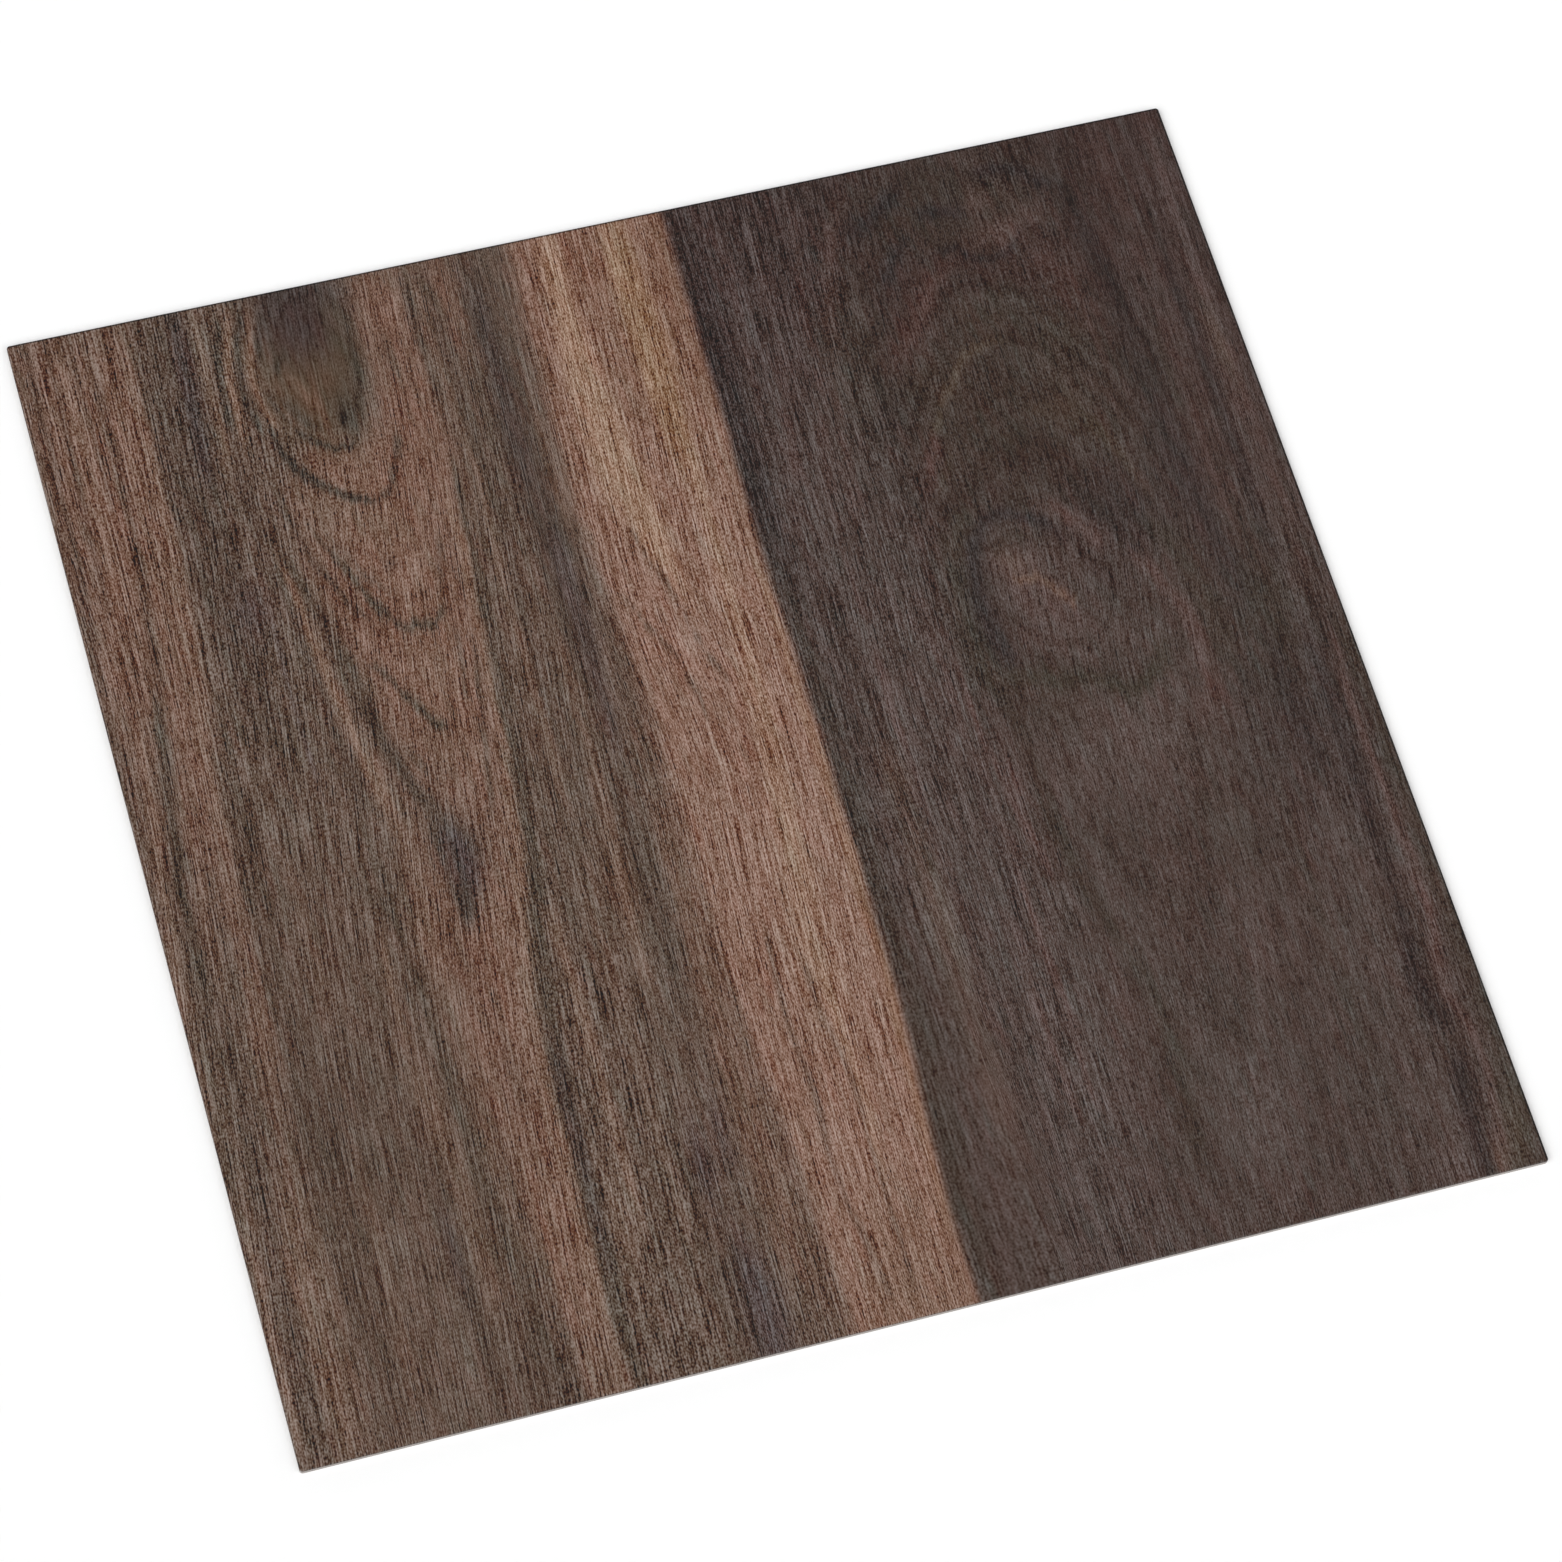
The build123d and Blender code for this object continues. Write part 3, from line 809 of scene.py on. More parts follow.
EAST_BOARD = HEART_STREAKS + LOWER_CLOUDS + HEART_OVALS

# Lines of the grain read at seven heights, each a tuple of x in mm: first the fine fibres, which all
# lean a little east as they run north, then the wide streaks between the figures
LINE_HEIGHTS = (300.0, 250.0, 200.0, 150.0, 100.0, 50.0, 0.0)
MIDDLE_HEIGHT = 150.0
FIBRE_LINES = (
    (-14, -14, -13, -15, -20, -25, -30), (5.5, 5.5, 6.5, 4, -0.5, -4.5, -10),
    (29.5, 27.5, 24.5, 22, 19, 16.5, 15), (56, 52.5, 48.5, 42, 37, 33.5, 31),
    (79, 75, 67.5, 60, 53, 49.5, 46), (92, 88, 81.5, 75, 68, 64, 60.5),
    (105, 100.5, 94, 90, 85, 80.5, 77), (119, 116, 113, 108, 107, 105, 103),
    (129.5, 127.5, 125.5, 127, 123.5, 122, 121.5), (155, 152, 148.5, 150, 147.5, 145.5, 145),
    (174, 172, 169.5, 168, 166, 163, 162), (184.5, 182, 180.5, 178, 179.5, 181.5, 184),
    (207, 203, 203, 200, 199.5, 198, 197), (232, 229, 227, 222, 220.5, 218.5, 216.5),
    (250, 248.5, 247, 240, 237.5, 235.5, 232.5), (270, 268.5, 265, 256, 254.5, 252, 249),
    (285, 282.5, 278.5, 272, 268, 265.5, 263), (298, 296, 293, 290, 285.5, 283, 281),
    (322, 321, 321, 321, 320, 319, 318),
)
STREAK_LINES = (
    (-10, -10, -12, -17, -20, -21, -22), (10, 10, 7.5, 2, -3, -5, -6),
    (31, 29.5, 26, 22, 19.5, 18.5, 18), (44, 42, 42.5, 42, 41, 41, 41), (56, 51, 56, 60, 62, 63, 64),
    (76, 76, 77, 76, 74.5, 74, 74), (88, 92, 91, 86, 80.5, 78.5, 78), (101, 101, 98, 93, 89, 87, 87),
    (115, 115, 113, 110, 108, 107, 106), (125, 124.5, 126, 125.5, 127.5, 129, 130),
    (169, 169, 168.3, 167.8, 167.2, 165.8, 163.5), (205, 204, 201, 201, 204, 207, 207),
    (222, 219, 213, 214, 219, 223, 221), (240, 240, 240, 240, 240, 240, 240),
    (262, 264, 266, 266, 262, 258, 257), (285, 285, 285, 284, 282, 281, 280),
    (300, 300, 299, 299, 299, 297, 294), (322, 322, 321, 321, 320, 319, 318),
)


@dataclass(frozen=True)
class LogHeart:
    """Where the heart of the log runs behind a board, which gives the board's arches and ovals.

    A growth ring shows where the face is as far from the heart as the ring is, so a place's ring is
    sqrt(across^2 + depth^2). From the blend's share of the reach the rings turn straight, with the
    streaks.
    """

    streak: float
    reach: float
    straight_ring: float
    path: Path
    blend: float = 0.6

    def rings(self, x: np.ndarray, y: np.ndarray, streak: np.ndarray) -> np.ndarray:
        """Ring at each place, in mm from the heart.

        Args:
            x: Millimetres from the west edge.
            y: Millimetres from the south edge.
            streak: Number of the streak line at each place.

        Returns:
            The ring's distance from the heart.
        """
        centre, height, depth = by_height(self.path)
        across = x - follow(height, centre, y)
        straight = np.abs(streak - self.streak) + self.straight_ring
        share = ease((np.abs(across) / self.reach - self.blend) / self.blend)
        return np.hypot(across, follow(height, depth, y)) * (1.0 - share) + straight * share


# The heart's place behind the west board, where it comes up in the knot, and behind the east board,
# each as (x, y, depth) in mm
WEST_HEART = LogHeart(76.0, 26.0, 17.0, (
    (75, 305, -12), (75, 284, 0), (75, 262, 11), (78, 240, 19.5), (79.5, 217, 25.5), (80, 205, 28.5),
    (80, 189, 32), (79, 175, 33.6), (75, 152, 35.8), (72, 122, 36.4), (72, 80, 37), (74, 0, 38),
))
EAST_HEART = LogHeart(240.0, 38.0, 8.0, (
    (240, 305, 52), (240, 270, 45), (241, 235, 35), (238, 211, 27), (232, 199, 21.5), (232, 188, 13),
    (235, 178, 0), (238, 163, -13), (242, 147, -21), (241, 120, -24), (241, 60, -29), (241, 0, -33),
))


@dataclass(frozen=True)
class Waver:
    """Random wander of the figure: slow waves and quick ones, as (amount, across, along, seed) in mm."""

    slow: tuple[float, float, float, int]
    quick: tuple[float, float, float, int]

    def at(self, x: np.ndarray, y: np.ndarray) -> np.ndarray:
        """The wander at each place, the two kinds of waves added up."""
        parts = [amount * Drift(*sizes).at(x, y) for amount, *sizes in (self.slow, self.quick)]
        return parts[0] + parts[1]


@dataclass(frozen=True)
class WalnutPrint:
    """The printed film at given places: three boards of walnut, as one gravure cylinder lays them.

    The places are x from the west edge and y from the south edge, in mm. The boards meet at two
    borders, the west one softer than the east one. Marks fade over the borders more widely.
    """

    x: np.ndarray
    y: np.ndarray
    west_border: float = 6.5
    east_border: float = 3.0
    west_marks_border: float = 12.0
    east_marks_border: float = 6.0
    east_marks_shift: float = 2.5
    heart_blend: tuple[float, float] = (150.0, 150.0)
    oval_edge: tuple[float, float] = (200.0, 22.0)
    across_waver: Waver = Waver((0.40, 12.0, 90.0, 3), (0.20, 3.5, 26.0, 4))
    along_waver: Waver = Waver((0.6, 26.0, 60.0, 5), (0.55, 2.6, 40.0, 9))
    patches: tuple[float, Drift] = (0.05, Drift(2.4, 11.0, 8))
    hue: tuple[float, Drift] = (0.004, Drift(5.0, 18.0, 6))
    ring_bend: tuple[float, Drift] = (0.5, Drift(15.0, 30.0, 10))

    def lay(self, ground: np.ndarray, figure: Figure, x: np.ndarray, y: np.ndarray) -> np.ndarray:
        """Lays each part of a figure over a ground tint in turn, by its cover, a little patchily.

        Args:
            ground: sRGB ground tint at each place.
            figure: The parts, first laid first.
            x: Millimetres from the west edge, with the figure's wander.
            y: Millimetres from the south edge, with the figure's wander.

        Returns:
            The sRGB tint after the last part.
        """
        amount, drift = self.patches
        patchiness = 1.0 + amount * drift.at(x, y)
        for part in figure:
            cover = np.clip(part.cover(x, y) * patchiness, 0.0, 1.0)[..., None]
            ground = ground * (1.0 - cover) + part.ink.seen() * cover
        return ground

    def past(self, border: Border, soft: float, shift: float | np.ndarray = 0.0) -> np.ndarray:
        """How far each place is past a border line, eased from 0 west of it to 1 east of it.

        Args:
            border: The line's points.
            soft: Width of the change in mm.
            shift: How far the place is moved east before it is read, in mm.

        Returns:
            The share of the board east of the line.
        """
        across, along = by_height(border)
        return ease((self.x + shift - follow(along, across, self.y)) / soft + 0.5)

    def tint(self) -> np.ndarray:
        """The print's tint as the eye sees it, in sRGB, with a last axis of 3."""
        wander = self.across_waver.at(self.x, self.y)
        x, y = self.x + wander, self.y + self.along_waver.at(self.x, self.y)
        whole = np.ones(x.shape + (1,))
        start, reach = self.heart_blend
        north = ease((self.y - start) / reach)[..., None]
        west = self.lay(Ink.WALNUT.seen() * whole, WEST_BOARD, x, y)
        sap = self.lay(Ink.SALMON.seen() * whole, SAPWOOD, x, y)
        heart = Ink.COCOA.seen() * (1.0 - north) + Ink.RAISIN.seen() * north
        heart = self.lay(heart, EAST_BOARD, x, y)
        in_sap = self.past(SAP_WEST, self.west_border, wander)[..., None]
        in_heart = self.past(SAP_EAST, self.east_border, 0.5 * wander)[..., None]
        seen = (west * (1.0 - in_sap) + sap * in_sap) * (1.0 - in_heart) + heart * in_heart
        amount, drift = self.hue
        redness = amount * drift.at(self.x, self.y)
        return seen + np.stack([redness, -0.5 * redness, -0.5 * redness], -1)

    def code(self) -> np.ndarray:
        """The tint on a scale where equal steps look equal: (tint + 0.055) / 1.055."""
        return (self.tint() + SRGB_OFFSET) / (1.0 + SRGB_OFFSET)

    def oval(self, amount: float, centre: tuple[float, float], radii: tuple[float, float]) -> np.ndarray:
        """A firm-edged oval of stronger or weaker marks, of that amount in its middle and 0 outside."""
        return Smudge(Ink.WALNUT, amount, centre, radii, 0, 2).cover(self.x, self.y)

    def over_boards(self, west: np.ndarray, plain: float, figured: float | np.ndarray) -> np.ndarray:
        """Strength of a mark on all boards. It is calm beside the south end of the sapwood.

        Args:
            west: Strength west of the heartwood.
            plain: Strength in the plain part of the heartwood.
            figured: What its figured part, where the ovals are, takes off that.

        Returns:
            The strength at each place.
        """
        in_heart = self.past(SAP_EAST, self.east_marks_border, self.east_marks_shift)
        foot = 1.0 - self.oval(0.6, (173, 32), (12, 64))
        return west * (1.0 - in_heart) + (plain - figured) * foot * in_heart

    def figured(self) -> np.ndarray:
        """How far each place is into the part of the heartwood where the ovals are, 0 to 1."""
        start, reach = self.oval_edge
        return ease((self.x - start) / reach)

    def grain_strength(self) -> np.ndarray:
        """How strongly the fine fibres show: most in the reds and the sapwood, least in the heartwood."""
        in_sap = self.past(SAP_WEST, self.west_marks_border)
        knot = self.oval(0.7, (72, 284), (13, 22))
        brown_foot = self.oval(0.2, (42, 60), (26, 95))
        between = self.oval(0.1, (111, 150), (13, 190))
        west = 1.1 * (1.0 - knot) * (1.0 - brown_foot) * (1.0 - between)
        return self.over_boards(west * (1.0 - in_sap) + 1.05 * in_sap, 0.9, 0.22 * self.figured())

    def streak_strength(self) -> np.ndarray:
        """How strongly the long strands of fibre show: most in the red bands, least round the knot."""
        red_bands = self.oval(0.15, (12, 245), (16, 80))
        knot = self.oval(0.6, (72, 284), (14, 24))
        return self.over_boards(1.0 + red_bands - knot, 0.8, 0.5 * self.figured())

    def ring_strength(self) -> np.ndarray:
        """How strongly the growth rings show: less in the sapwood and in the ovals of the heartwood."""
        in_sap = self.past(SAP_WEST, self.west_marks_border)
        brown_foot = self.oval(0.3, (32, 60), (34, 105))
        knot = self.oval(0.5, (72, 280), (16, 22))
        west = (1.0 - brown_foot) * (1.0 - knot) * (1.0 - 0.25 * in_sap)
        return self.over_boards(west, 1.4, self.oval(0.55, (242, 100), (38, 240)))

    def line_number(self, lines: tuple[tuple[float, ...], ...]) -> np.ndarray:
        """Number of the grain line at each place: the x that the line has in the middle of the tile.

        Between two neighbouring lines the number runs evenly from one's to the other's.

        Args:
            lines: The grain lines, west to east.

        Returns:
            The line's number in mm.
        """
        heights = np.array(LINE_HEIGHTS[::-1])
        middle = LINE_HEIGHTS.index(MIDDLE_HEIGHT)
        places = [follow(heights, np.array(line[::-1], float), self.y) for line in lines]
        number = np.full_like(self.x, lines[0][middle])
        for k in range(len(lines) - 1):
            share = np.clip((self.x - places[k]) / (places[k + 1] - places[k]), 0.0, 1.0)
            number += share * (lines[k + 1][middle] - lines[k][middle])
        return number

    def fibres(self) -> np.ndarray:
        """Number of the fine fibre at each place, in mm."""
        return self.line_number(FIBRE_LINES)

    def rings(self) -> np.ndarray:
        """Growth ring at each place, in mm from the heart of the log that its board was cut from."""
        in_heart = self.past(SAP_EAST, self.east_border)
        amount, drift = self.ring_bend
        bend = amount * drift.at(self.x, self.y)
        streak = self.line_number(STREAK_LINES)
        west = WEST_HEART.rings(self.x + bend, self.y + bend, streak)
        east = EAST_HEART.rings(self.x + bend, self.y + 2.0 * bend, streak)
        return west * (1.0 - in_heart) + east * in_heart


# The sheet of vinyl
class TileSurface(Enum):
    """The tile's surfaces, numbered as their material slots."""

    WEAR_FACE = 0
    CUT_WALL = 1
    BACK = 2


@dataclass(frozen=True)
class Outline:
    """The tile's plan and section sizes in metres."""

    width: float
    length: float
    thickness: float
    corner_radius: float = 0.8 * MM
    arris_radius: float = 0.2 * MM


@dataclass(frozen=True)
class MeshPitch:
    """Spacing of the face's grid in mm: finest where the print has the finest figure."""

    west: float = 0.65
    sapwood: float = 0.85
    east: float = 1.1
    figured_rows: float = 0.97
    plain_rows: float = 2.6
    figured_from: float = 138.0
    sap_from: float = 126.0
    heart_from: float = 171.0
    corner_steps: int = 3
    arris_steps: int = 3


@dataclass(frozen=True)
class BakeLayout:
    """Shares of the bake map: the face in its lower part, the back above, four wall bands on top."""

    margin: float = 0.004
    reach: float = 0.992
    face_height: float = 0.712
    back_start: float = 0.724
    back_height: float = 0.226
    wall_start: float = 0.954
    wall_pitch: float = 0.0115
    wall_height: float = 0.008


@dataclass(frozen=True)
class TileSheet:
    """The die-cut vinyl sheet as one closed mesh: wear face, rounded arris, cut walls and back.

    The print's colour is made darker over the arris. Along the rims at the two far sides, east and north,
    whose width is in mm, it is darkened again as painted shade.
    """

    outline: Outline
    pitch: MeshPitch = MeshPitch()
    layout: BakeLayout = BakeLayout()
    arris_shade: float = 0.78
    # Painted shade: the share of colour kept along the east and north rims, the far sides
    far_rim_painted_shade: float = 0.6
    rim: float = 0.45
    smooth_angle: float = 40.0

    def spread(self, stops: list[float], pitches: list[float]) -> np.ndarray:
        """Grid lines from edge to edge of the flat face, in mm from the low edge of the tile.

        Each stretch between two stops is divided evenly, and the corner's own steps lie at both ends.

        Args:
            stops: Ends of the stretches.
            pitches: Spacing in each stretch.

        Returns:
            The rising positions of the lines.
        """
        edge = self.outline.arris_radius / MM
        step = (self.outline.corner_radius / MM - edge) / self.pitch.corner_steps
        low = stops[0] + edge + step * np.arange(self.pitch.corner_steps)
        high = stops[-1] - edge - step * np.arange(self.pitch.corner_steps)[::-1]
        inner = [low[-1] + step, *stops[1:-1], high[0] - step]
        runs = []
        for k, pitch in enumerate(pitches):
            count = max(2, round((inner[k + 1] - inner[k]) / pitch))
            runs.append(np.linspace(inner[k], inner[k + 1], count, endpoint=False))
        return np.concatenate([low, *runs, inner[-1:], high])

    def face_plan(self) -> tuple[np.ndarray, np.ndarray]:
        """Plan of the flat face as a grid whose border is the outline with rounded corners.

        In each corner square of side r, a point (s, t) from 0 to 1 goes to
        r (s sqrt(1 - t^2 / 2), t sqrt(1 - s^2 / 2)), which bends the square's outer sides onto the arc.

        Returns:
            x and y of the grid in metres from the tile's centre, rows from south to north.
        """
        size, pitch = self.outline, self.pitch
        stops = [0.0, pitch.sap_from, pitch.heart_from, size.width / MM]
        across = self.spread(stops, [pitch.west, pitch.sapwood, pitch.east])
        stops = [0.0, pitch.figured_from, size.length / MM]
        along = self.spread(stops, [pitch.plain_rows, pitch.figured_rows])
        x, y = np.meshgrid(across * MM - size.width / 2, along * MM - size.length / 2)
        r = size.corner_radius - size.arris_radius
        start_x = size.width / 2 - size.corner_radius
        start_y = size.length / 2 - size.corner_radius
        s = np.clip((np.abs(x) - start_x) / r, 0.0, 1.0)
        t = np.clip((np.abs(y) - start_y) / r, 0.0, 1.0)
        bent_x = np.minimum(np.abs(x), start_x) + r * s * np.sqrt(1.0 - t**2 / 2)
        bent_y = np.minimum(np.abs(y), start_y) + r * t * np.sqrt(1.0 - s**2 / 2)
        return np.sign(x) * bent_x, np.sign(y) * bent_y

    def border_loop(self, grid: np.ndarray) -> np.ndarray:
        """Numbers of the face grid's border points, counterclockwise from the south-west corner."""
        return np.concatenate([grid[0, :-1], grid[:-1, -1], grid[-1, :0:-1], grid[:0:-1, 0]])

    def outward(self, border: np.ndarray) -> np.ndarray:
        """Level direction square to the outline at each border point.

        It is the point less the nearest place of the rectangle through the corner centres.

        Args:
            border: x and y of the border points.

        Returns:
            Unit vectors.
        """
        core = np.array([self.outline.width, self.outline.length]) / 2 - self.outline.corner_radius
        away = border - np.clip(border, -core, core)
        return away / np.linalg.norm(away, axis=1, keepdims=True)

    def section(self) -> np.ndarray:
        """Profile of the edge as (inset, height): a quarter round of the arris, then the wall.

        Returns:
            The stations below the flat face, down to the underside.
        """
        size = self.outline
        angle = np.linspace(0.0, math.pi / 2, self.pitch.arris_steps + 1)[1:]
        inset = size.arris_radius * (1.0 - np.sin(angle))
        height = size.thickness - size.arris_radius * (1.0 - np.cos(angle))
        return np.column_stack([np.append(inset, 0.0), np.append(height, 0.0)])

    def build(self) -> bpy.types.Object:
        """Builds the closed mesh with its print layers and maps.

        The face is a grid, the edge is the section carried round the border, and the back is a fan
        from the underside's centre.

        Returns:
            The tile's object, at the origin of the frame.
        """
        x, y = self.face_plan()
        rows, columns = x.shape
        face = np.column_stack([x.ravel(), y.ravel(), np.full(x.size, self.outline.thickness)])
        grid = np.arange(rows * columns).reshape(rows, columns)
        loop = self.border_loop(grid)
        border, around = face[loop, :2], len(loop)
        out = self.outward(border)
        rings = [
            np.column_stack([border + out * (self.outline.arris_radius - inset), np.full(around, height)])
            for inset, height in self.section()
        ]
        points = np.concatenate([face, *rings, np.zeros((1, 3))])
        quads = np.stack([grid[:-1, :-1], grid[:-1, 1:], grid[1:, 1:], grid[1:, :-1]], -1).reshape(-1, 4)
        ring_points = grid.size + np.arange(len(rings) * around).reshape(-1, around)
        levels = np.concatenate([loop[None], ring_points])
        ahead = np.roll(levels, -1, axis=1)
        skirt = np.stack([levels[:-1], levels[1:], ahead[1:], ahead[:-1]], -1).reshape(-1, 4)
        fan = np.stack([levels[-1], np.full(around, len(points) - 1), ahead[-1]], -1)
        mesh = bpy.data.meshes.new(NODE_NAME)
        mesh.from_pydata(points, [], [*quads.tolist(), *skirt.tolist(), *fan.tolist()])
        arris_quads = self.pitch.arris_steps * around
        slots = np.zeros(len(mesh.polygons), np.int32)
        slots[len(quads) + arris_quads : len(quads) + len(skirt)] = TileSurface.CUT_WALL.value
        slots[len(quads) + len(skirt) :] = TileSurface.BACK.value
        mesh.polygons.foreach_set("material_index", slots)
        mesh.polygons.foreach_set("use_smooth", np.ones(len(mesh.polygons), bool))
        mesh.set_sharp_from_angle(angle=math.radians(self.smooth_angle))
        walnut = self.printed(points)
        self.print_layers(mesh, walnut, grid.size)
        self.maps(mesh, walnut, points, slots)
        mesh.validate()
        tile = bpy.data.objects.new("vinyl_sheet", mesh)
        bpy.context.scene.collection.objects.link(tile)
        return tile

    def printed(self, points: np.ndarray) -> WalnutPrint:
        """The print at places given in metres in the frame."""
        x = (points[:, 0] + self.outline.width / 2) / MM
        y = (points[:, 1] + self.outline.length / 2) / MM
        return WalnutPrint(x, y)

    def print_layers(self, mesh: bpy.types.Mesh, walnut: WalnutPrint, face_count: int) -> None:
        """Writes the print's tint, with painted shade along the east and north rims, and the strengths of its
        marks onto the mesh's points.

        Args:
            mesh: The tile's mesh.
            walnut: The print at its points.
            face_count: How many of them lie on the flat face.
        """
        code = walnut.code()
        # The arris points are coloured darker
        code[face_count:] *= self.arris_shade
        # Painted shade: the points within the rim of the east and north edges are darkened
        east_rim_painted_shade = walnut.x > self.outline.width / MM - self.rim
        north_rim_painted_shade = walnut.y > self.outline.length / MM - self.rim
        code[east_rim_painted_shade | north_rim_painted_shade] *= self.far_rim_painted_shade
        layer = mesh.color_attributes.new(TINT_AND_RIM_SHADE_LAYER, "FLOAT_COLOR", "POINT")
        opaque = np.column_stack([code, np.ones(len(code))])
        layer.data.foreach_set("color", opaque.ravel().astype(np.float32))
        strengths = {
            GRAIN_LAYER: walnut.grain_strength(),
            STREAK_LAYER: walnut.streak_strength(),
            RING_LAYER: walnut.ring_strength(),
        }
        for name, strength in strengths.items():
            layer = mesh.attributes.new(name, "FLOAT", "POINT")
            layer.data.foreach_set("value", strength.astype(np.float32))

    def maps(
        self, mesh: bpy.types.Mesh, walnut: WalnutPrint, points: np.ndarray, slots: np.ndarray
    ) -> None:
        """Writes the maps of the fibres and rings, in metres, and the bake map.

        On the bake's map the face takes the most, stretched across the grain, where the print is
        finest. The back is a strip above it and the walls are thin bands along the top.

        Args:
            mesh: The tile's mesh.
            walnut: The print at its points.
            points: Its points in metres.
            slots: Material number of each face.
        """
        corner = np.zeros(len(mesh.loops), np.int32)
        mesh.loops.foreach_get("vertex_index", corner)
        totals = np.zeros(len(mesh.polygons), np.int32)
        mesh.polygons.foreach_get("loop_total", totals)
        slot = np.repeat(slots, totals)
        back, walls = slot == TileSurface.BACK.value, slot == TileSurface.CUT_WALL.value
        for name, across in ((FIBRE_MAP, walnut.fibres()), (RING_MAP, walnut.rings())):
            grain_map = mesh.uv_layers.new(name=name)
            places = np.column_stack([across, walnut.y]) * MM
            grain_map.data.foreach_set("uv", places[corner].ravel().astype(np.float32))
        lay = self.layout
        across = (lay.margin + lay.reach * (walnut.x * MM / self.outline.width))[corner]
        up = (walnut.y * MM / self.outline.length)[corner]
        height = np.where(back, lay.back_start + lay.back_height * up, lay.margin + lay.face_height * up)
        place = np.column_stack([across, height])
        place[walls] = self.wall_places(points[corner[walls]])
        bake_map = mesh.uv_layers.new(name=BAKE_MAP)
        bake_map.data.foreach_set("uv", place.ravel().astype(np.float32))

    def wall_places(self, places: np.ndarray) -> np.ndarray:
        """Bake map places of the walls: four bands, one for each side of the tile, by height.

        Args:
            places: Corners of the wall faces in metres, four to a face.

        Returns:
            Their places on the map.
        """
        centre = places.reshape(-1, 4, 3).mean(1)
        reach_x = np.abs(centre[:, 0]) / self.outline.width
        reach_y = np.abs(centre[:, 1]) / self.outline.length
        east_west = reach_x > reach_y
        side = np.where(east_west, np.where(centre[:, 0] > 0, 0, 1), np.where(centre[:, 1] > 0, 2, 3))
        side = np.repeat(side, 4)
        run = np.where(np.repeat(east_west, 4), places[:, 1], places[:, 0]) / self.outline.width + 0.5
        lay = self.layout
        up = lay.wall_start + lay.wall_pitch * side + lay.wall_height * places[:, 2] / self.outline.thickness
        return np.column_stack([lay.margin + lay.reach * run, up])

    def dress(self, tile: bpy.types.Object, finishes: dict[TileSurface, bpy.types.Material]) -> None:
        """Gives the tile its finishes and its place on the CAD body.

        Args:
            tile: The tile's object.
            finishes: A material for each surface.
        """
        for surface in TileSurface:
            tile.data.materials.append(finishes[surface])
        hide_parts(NODE_NAME)
        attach(tile, BODY_NAME)


# Finishes
def add_node(
    tree: bpy.types.NodeTree, kind: str, inputs: dict | None = None, **settings: object
) -> bpy.types.Node:
    """Adds a node with its settings and links.

    Args:
        tree: The node tree.
        kind: The node's type name, less the ShaderNode that each one starts with.
        inputs: Socket name or number to a value, or to the output socket that feeds it.
        settings: Property name to value.

    Returns:
        The node.
    """
    node = tree.nodes.new("ShaderNode" + kind)
    for name, value in settings.items():
        setattr(node, name, value)
    for name, value in (inputs or {}).items():
        if isinstance(value, bpy.types.NodeSocket):
            tree.links.new(value, node.inputs[name])
        else:
            node.inputs[name].default_value = value
    return node


Adder = Callable[..., bpy.types.Node]
PVC_IOR = 1.53


def new_material(name: str) -> tuple[bpy.types.Material, Adder]:
    """Starts an empty material.

    Args:
        name: The finish's name.

    Returns:
        The material, and add_node for its own tree.
    """
    material = bpy.data.materials.new(name)
    material.use_nodes = True
    material.node_tree.nodes.clear()
    return material, partial(add_node, material.node_tree)


def cover_surface(add: Adder, inputs: dict) -> None:
    """Ends a material: a Principled shader with these inputs, and its output.

    Args:
        add: Adds a node to the material.
        inputs: Socket name to a value, or to the output socket that feeds it.
    """
    shader = add("BsdfPrincipled", inputs)
    add("OutputMaterial", {"Surface": shader.outputs["BSDF"]})


def from_to(low: float, high: float, to_low: float, to_high: float) -> dict[str, float]:
    """Inputs of a Map Range node that takes low..high evenly to to_low..to_high.

    Args:
        low: Value that goes to to_low.
        high: Value that goes to to_high.
        to_low: Result at low, and below it.
        to_high: Result at high, and above it.

    Returns:
        Socket name to value.
    """
    return {"From Min": low, "From Max": high, "To Min": to_low, "To Max": to_high}


@dataclass(frozen=True)
class MarkSize:
    """Size of one kind of fibre mark in mm, and how strongly it shows."""

    width: float
    length: float
    contrast: float


